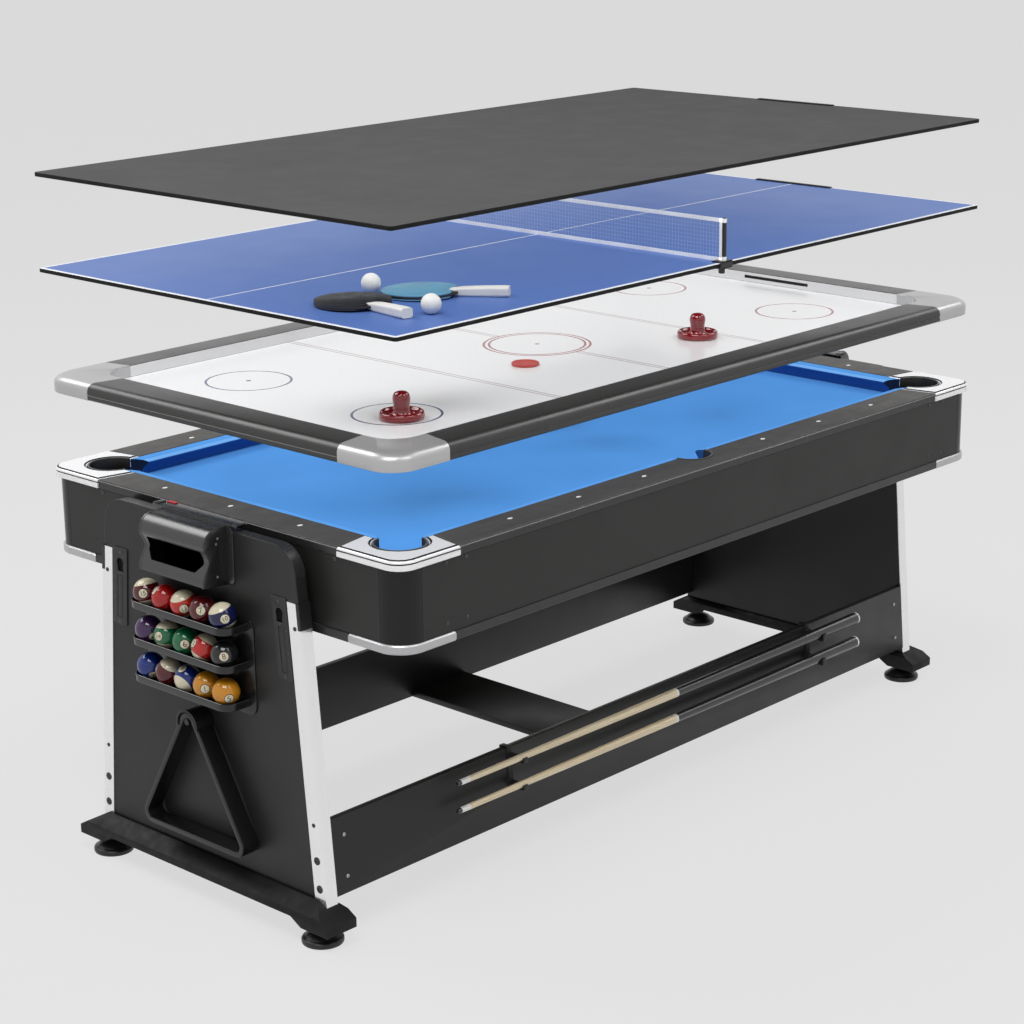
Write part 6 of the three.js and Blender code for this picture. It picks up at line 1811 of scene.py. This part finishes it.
def leg_trims():
    """Polished angle trims with their screws and bolts, and the black caps at their heads."""
    low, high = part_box("leg_trim_far_back")
    angle = skin([trim_ring(low.z), trim_ring(high.z)])
    ends = (TRIM_CAP_BOTTOM, high.z + TRIM_CAP_PROUD)
    cap = skin([trim_ring(z, TRIM_CAP_PROUD, TRIM_CAP_REACH) for z in ends])
    screws = [
        ((high.x, leg_edge(z) - TRIM_FACE_WIDTH / 2, z), (1, 0, 0), radius, height)
        for z, radius, height in TRIM_SCREWS
    ]
    polish = metal("trim_polish")
    add_each(CORNERS, "leg_trim_{}_angle", angle, polish, "stand", "leg_trim_{}")
    add("trim_screws", corner_screws(screws), metal("trim_screw"), "stand")
    add("trim_caps", at_each(CORNERS, cap), moulded("trim_cap"), "stand")


def foot_beams():
    black = moulded("beam_plastic")
    for end in ENDS:
        node = f"foot_beam_{end}"
        mesh = softened(node, BEAM_EDGE, 4, BEAM_CREASE_DEGREES)
        add(node + "_cover", mesh, black, "stand", [node], BEND_DEGREES)


def levellers():
    rubber = moulded("pad_rubber")
    for corner in CORNERS:
        node = f"leveller_{corner}"
        mesh = standing(node, LEVELLER_PROFILE)
        add(node + "_pad", mesh, rubber, node + "_body", [node], BEND_DEGREES)


def boards(foil):
    """Long side boards and the cross brace, with the screws through the legs."""
    pieces = {"side_board_front": "panel", "side_board_back": "panel", "cross_brace": "board"}
    for node, piece in pieces.items():
        add(f"{node}_{piece}", softened(node, FINE_EDGE), foil, "stand", [node])
    lean = math.atan2(LEG_FOOT_HALF - LEG_TOP_HALF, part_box("leg_trim_far_back")[1].z)
    axis = (0, cos(lean), sin(lean))
    screws = [((BOARD_SCREW_X, leg_edge(z), z), axis, BOARD_SCREW_RADIUS) for z in BOARD_SCREW_HEIGHTS]
    add("board_screws", corner_screws(screws), metal("board_screw"), "stand")


# Rack, balls and triangle

def ball_rack():
    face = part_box("ball_rack")[1].x
    black = moulded("rack_plastic")
    outline = rectangle(-RACK_HALF, RACK_HALF, RACK_BOTTOM, RACK_TOP, RACK_CORNER)
    parts = [plate([outline], face - TRAY_THICKNESS, face, RACK_EDGE, to=ALONG_X)]
    parts += [tray(face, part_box(f"ball_row_{row}")[0].z - SKIN) for row in BALLS]
    add("ball_rack_moulding", merged(parts), black, "stand", ["ball_rack"], RACK_DEGREES)
    hook(face, black)


def tray(face, floor):
    """A tray's floor with its rolled lip led round the front."""
    x, y = TRAY_DEPTH - face - TRAY_RADIUS, TRAY_HALF - TRAY_RADIUS
    outer = [
        (-face, -TRAY_HALF), *arc(x, -y, TRAY_RADIUS, -90, 0), *arc(x, y, TRAY_RADIUS, 0, 90),
        (-face, TRAY_HALF),
    ]
    low = floor - TRAY_THICKNESS
    rings = []
    for i, (x, y) in enumerate(outer):
        before = Vector(outer[max(i - 1, 0)])
        after = Vector(outer[min(i + 1, len(outer) - 1)])
        ahead = (after - before).normalized()
        rings.append([(x - ahead.y * d, y + ahead.x * d, low + h) for d, h in TRAY_SECTION])
    inner = leftward(outer, TRAY_FLOOR_INSET)
    for i, side in ((0, TRAY_THICKNESS - TRAY_HALF), (-1, TRAY_HALF - TRAY_THICKNESS)):
        inner[i] = Vector((-face, side))
    bottom = plate([inner], low + SKIN, floor - SKIN, 0, 1)
    return mirrored(merged([skin(rings), bottom]), -1, 1)


def hook(face, black):
    """Peg through the triangle's corner, and the broad strap curled over that corner."""
    top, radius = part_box("triangle")[1].z, HOOK_PEG_RADIUS
    peg_z = top - TRIANGLE_BAR - SKIN - radius
    peg = turned([
        (0, 0), (radius, 0), (radius, HOOK_DEPTH - EDGE), (radius - EDGE, HOOK_DEPTH), (0, HOOK_DEPTH),
    ], SMALL_STEPS, to=ALONG_X)
    parts = [moved(peg, -face, 0, peg_z)]
    centre, inner, wrap = top - TRIANGLE_ROUND, TRIANGLE_ROUND + HOOK_GAP, 180 + HOOK_WRAP
    for thick, back, edge in (
        (HOOK_STRAP, 0, EDGE), (HOOK_STRAP + HOOK_LIP, HOOK_DEPTH - HOOK_LIP, HOOK_RIM_EDGE),
    ):
        band = arc(0, centre, inner + thick, -HOOK_WRAP, wrap) + arc(0, centre, inner, wrap, -HOOK_WRAP)
        parts.append(plate([band], back - face, HOOK_DEPTH - face, edge, 3, to=ALONG_X))
    neck = rectangle(-HOOK_NECK_HALF, HOOK_NECK_HALF, peg_z, RACK_BOTTOM + EDGE)
    parts.append(plate([neck], -face, TRAY_THICKNESS - face, FINE_EDGE, to=ALONG_X))
    add("triangle_hook", mirrored(merged(parts), -1, 1), black, "stand")


def ball_rows():
    finishes = {name: glossy("ball_" + name, colour) for name, colour in BALL_COLOURS.items()}
    for row, balls in BALLS.items():
        node = f"ball_row_{row}"
        low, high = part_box(node)
        x, z = (low.x + high.x) / 2, (low.z + high.z) / 2
        for i, (number, colour, striped, aside, up) in enumerate(balls):
            y = ((len(balls) - 1) / 2 - i) * BALL_PITCH
            mesh = moved(ball_mesh(number, striped, aside, up), x, y, z)
            look = [finishes[name] for name in (colour, "cream", "black")]
            replaces = () if i else (node,)
            add(f"ball_{row}_{i + 1}", mesh, look, node + "_body", replaces, ROUND_DEGREES)


def ball_mesh(number, striped, aside, up):
    """A ball whose number disc faces aside degrees from -X towards -Y, and up degrees."""
    sphere = ball_of(BALL_RADIUS)
    if striped:
        paint(sphere, 1, lambda centre, normal: abs(centre.z) > BALL_RADIUS * STRIPE_SHARE)
    shell = BALL_RADIUS + BALL_PRINT
    turns = [radians(NUMBER_DISC_DEGREES * i / NUMBER_RINGS) for i in range(NUMBER_RINGS + 1)]
    cap = turned([(shell * sin(turn), shell * cos(turn)) for turn in turns], BALL_STEPS)
    cap.transform(Matrix.Rotation(pi / 2, 4, "Y"))
    ring = shell * sin(turns[-2])
    paint(cap, 1, lambda centre, normal: True)
    paint(cap, 2, lambda centre, normal: centre.y ** 2 + centre.z ** 2 > ring ** 2)
    whole = merged([sphere, cap, number_mesh(number, shell + BALL_PRINT)])
    for degrees, axis in ((aside / 3, "X"), (-up, "Y"), (180 + aside, "Z")):
        whole.transform(Matrix.Rotation(radians(degrees), 4, axis))
    return whole


def number_mesh(number, radius):
    """The number laid on the sphere about +X, upright along +Z."""
    curve = bpy.data.curves.new("number", "FONT")
    curve.body = number
    curve.size = NUMBER_SIZES[len(number)]
    curve.align_x = "CENTER"
    curve.align_y = "CENTER"
    text = bpy.data.objects.new("number", curve)
    bpy.context.scene.collection.objects.link(text)
    graph = bpy.context.evaluated_depsgraph_get()
    mesh = bpy.data.meshes.new_from_object(text.evaluated_get(graph))
    bpy.data.objects.remove(text)
    shape = bmesh.new()
    shape.from_mesh(mesh)
    bmesh.ops.triangulate(shape, faces=shape.faces)
    bmesh.ops.subdivide_edges(shape, edges=shape.edges, cuts=3, use_grid_fill=True)
    for corner in shape.verts:
        across, rise = corner.co.x, corner.co.y
        corner.co = Vector((sqrt(radius ** 2 - across ** 2 - rise ** 2), across, rise))
    bmesh.ops.recalc_face_normals(shape, faces=shape.faces)
    shape.to_mesh(mesh)
    shape.free()
    mesh.materials.clear()
    return paint(mesh, 2, lambda centre, normal: True)


def triangle_outline(radius):
    """Outline (y, z) that rounds the triangle's three corners."""
    low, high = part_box("triangle")
    apex, base = high.z - TRIANGLE_ROUND, low.z + TRIANGLE_ROUND
    half = (apex - base) / sqrt(3)
    return [
        *arc(half, base, radius, -90, 30), *arc(0, apex, radius, 30, 150),
        *arc(-half, base, radius, 150, 270),
    ]


def triangle_frame():
    low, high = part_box("triangle")
    loops = [triangle_outline(TRIANGLE_ROUND), triangle_outline(TRIANGLE_ROUND - TRIANGLE_BAR)]
    mesh = plate(loops, low.x, high.x, TRIANGLE_EDGE, 3, to=ALONG_X)
    black = moulded("triangle_plastic")
    add("triangle_rack", mesh, black, "triangle_body", ["triangle"], RAIL_DEGREES)


# Puck boxes and cues

def puck_boxes():
    low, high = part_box("puck_box_far")
    reach = (low.x, low.x + RED_STOP_DEPTH)
    stop = block(reach, RED_STOP_SPAN, (high.z - SKIN, high.z + RED_STOP_RISE), BLADE_EDGE, corner=HOOD_EDGE)
    side = [
        screw_mesh((low.x + x, -HOOD_HALF, z), (0, -1, 0), HOOD_SCREW_RADIUS, HOOD_SCREW_HEIGHT)
        for x, z in HOOD_SCREWS
    ]
    for name, mesh, look, node in (
        ("cover", puck_box_mesh(), hood_plastic(), "puck_box_{}"),
        ("stop", stop, moulded("stop_red"), ""),
        ("screws", merged(side), metal("hood_screw"), ""),
    ):
        add_each(ENDS, "puck_box_{}_" + name, mesh, look, "stand", node)


def cubic(t, p, q, r, s):
    """The cubic that runs from q to r as t goes from 0 to 1, with slopes towards p and s."""
    bend, twist = 2 * p - 5 * q + 4 * r - s, 3 * q - p - 3 * r + s
    return (2 * q + (r - p) * t + bend * t ** 2 + twist * t ** 3) / 2


def smooth_curve(points):
    """A smooth curve through points, by cubic pieces whose slopes follow the neighbouring points."""
    curve = []
    last = len(points) - 1
    for i in range(last):
        a, b = points[max(i - 1, 0)], points[i]
        c, d = points[i + 1], points[min(i + 2, last)]
        for step in range(CURVE_STEPS):
            curve.append([cubic(step / CURVE_STEPS, *values) for values in zip(a, b, c, d)])
    return curve + [points[-1]]


def hood_ring(y, drawn):
    """Section of the far puck box's hood at a place across, drawn in all round."""
    face = box_face()
    x, z, radius = HOOD_CROWN
    points = [
        (0, 0), (HOOD_FRONT[0][0], HOOD_FOOT), *smooth_curve(HOOD_FRONT), *arc(x, z, radius, 0, 90),
        (0, z + radius),
    ]
    return [(face + p[0], y, HOOD_BOTTOM + p[1]) for p in leftward(points, drawn)]


def box_face():
    """Face of the far end panel, on which the puck box sits."""
    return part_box("end_panel_far")[1].x - LOCK_PLATE_THICKNESS + SKIN


def puck_box_mesh():
    """Far puck box: hood with rounded sides, its window, the flange and the grip bar."""
    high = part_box("puck_box_far")[1]
    back, front = box_face(), box_face() + FLANGE_THICKNESS
    stations = [(inward - HOOD_HALF, drawn) for inward, drawn in HOOD_SIDE]
    stations += [(-y, drawn) for y, drawn in reversed(stations)]
    hood = skin([hood_ring(y, drawn) for y, drawn in stations])
    inside = skin([hood_ring(y, HOOD_WALL) for y in (HOOD_WALL - HOOD_HALF, HOOD_HALF - HOOD_WALL)])
    outline = rounded([(y, z, HOOD_WINDOW_CORNER) for y, z in HOOD_WINDOW])
    window = plate([outline], *[back + depth for depth in HOOD_WINDOW_SPAN], 0, 1, to=ALONG_X)
    outline = rectangle(-FLANGE_HALF, FLANGE_HALF, HOOD_BOTTOM, FLANGE_TOP, FLANGE_CORNER)
    flange = plate([outline], back, front, HOOD_EDGE, to=ALONG_X)
    reach = (front - GRIP_DEPTH, front)
    grip = block(reach, (-GRIP_HALF, GRIP_HALF), (GRIP_BOTTOM, high.z), HOOD_EDGE, corner=SOFT_EDGE)
    reach = [back + depth for depth in BRACKET_SPAN]
    heights = (GRIP_BOTTOM, high.z + BRACKET_RISE)
    brackets = [
        block(reach, (sign * BRACKET_INNER, sign * GRIP_HALF), heights, HOOD_EDGE, corner=BRACKET_CORNER)
        for sign in (-1, 1)
    ]
    return merged([hollowed(hood, inside, window), flange, grip, *brackets])


def cues():
    for name in ("cue_upper", "cue_lower"):
        low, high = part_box(name)
        length = high.x - low.x
        stations = [CUE_TIP, CUE_TIP + CUE_FERRULE, CUE_JOINT_X - low.x, length - CUE_END, *CUE_STATIONS]
        profile = [
            *CUE_TIP_PROFILE,
            *[(CUE_TIP_RADIUS + CUE_TAPER * x / length, x) for x in sorted(stations)],
            *[(radius, length - inward) for radius, inward in CUE_BUTT_PROFILE],
        ]
        mesh = turned(profile, BALL_STEPS, to=ALONG_X)
        moved(mesh, low.x, (low.y + high.y) / 2, (low.z + high.z) / 2)
        finish = cue_finish(low.x, high.x)
        add(name + "_stick", mesh, finish, name + "_body", [name], BEND_DEGREES)


look_from_photograph()
light_stage()
lay_floor()
board_top("dining", board("dining_laminate"))
tennis_layer()
hockey_layer()
pool_rails()
pockets()
pool_bed()
cushions()
cabinet()
stand()
ball_rack()
ball_rows()
triangle_frame()
puck_boxes()
cues()
let_light_pass([
    piece for piece in bpy.context.scene.objects
    if piece.name.split("_")[0] in ("dining", "tennis", "net", "hockey") and piece.type == "MESH"
    and "ball" not in piece.name
])

bpy.context.scene.view_settings.view_transform = "Standard"
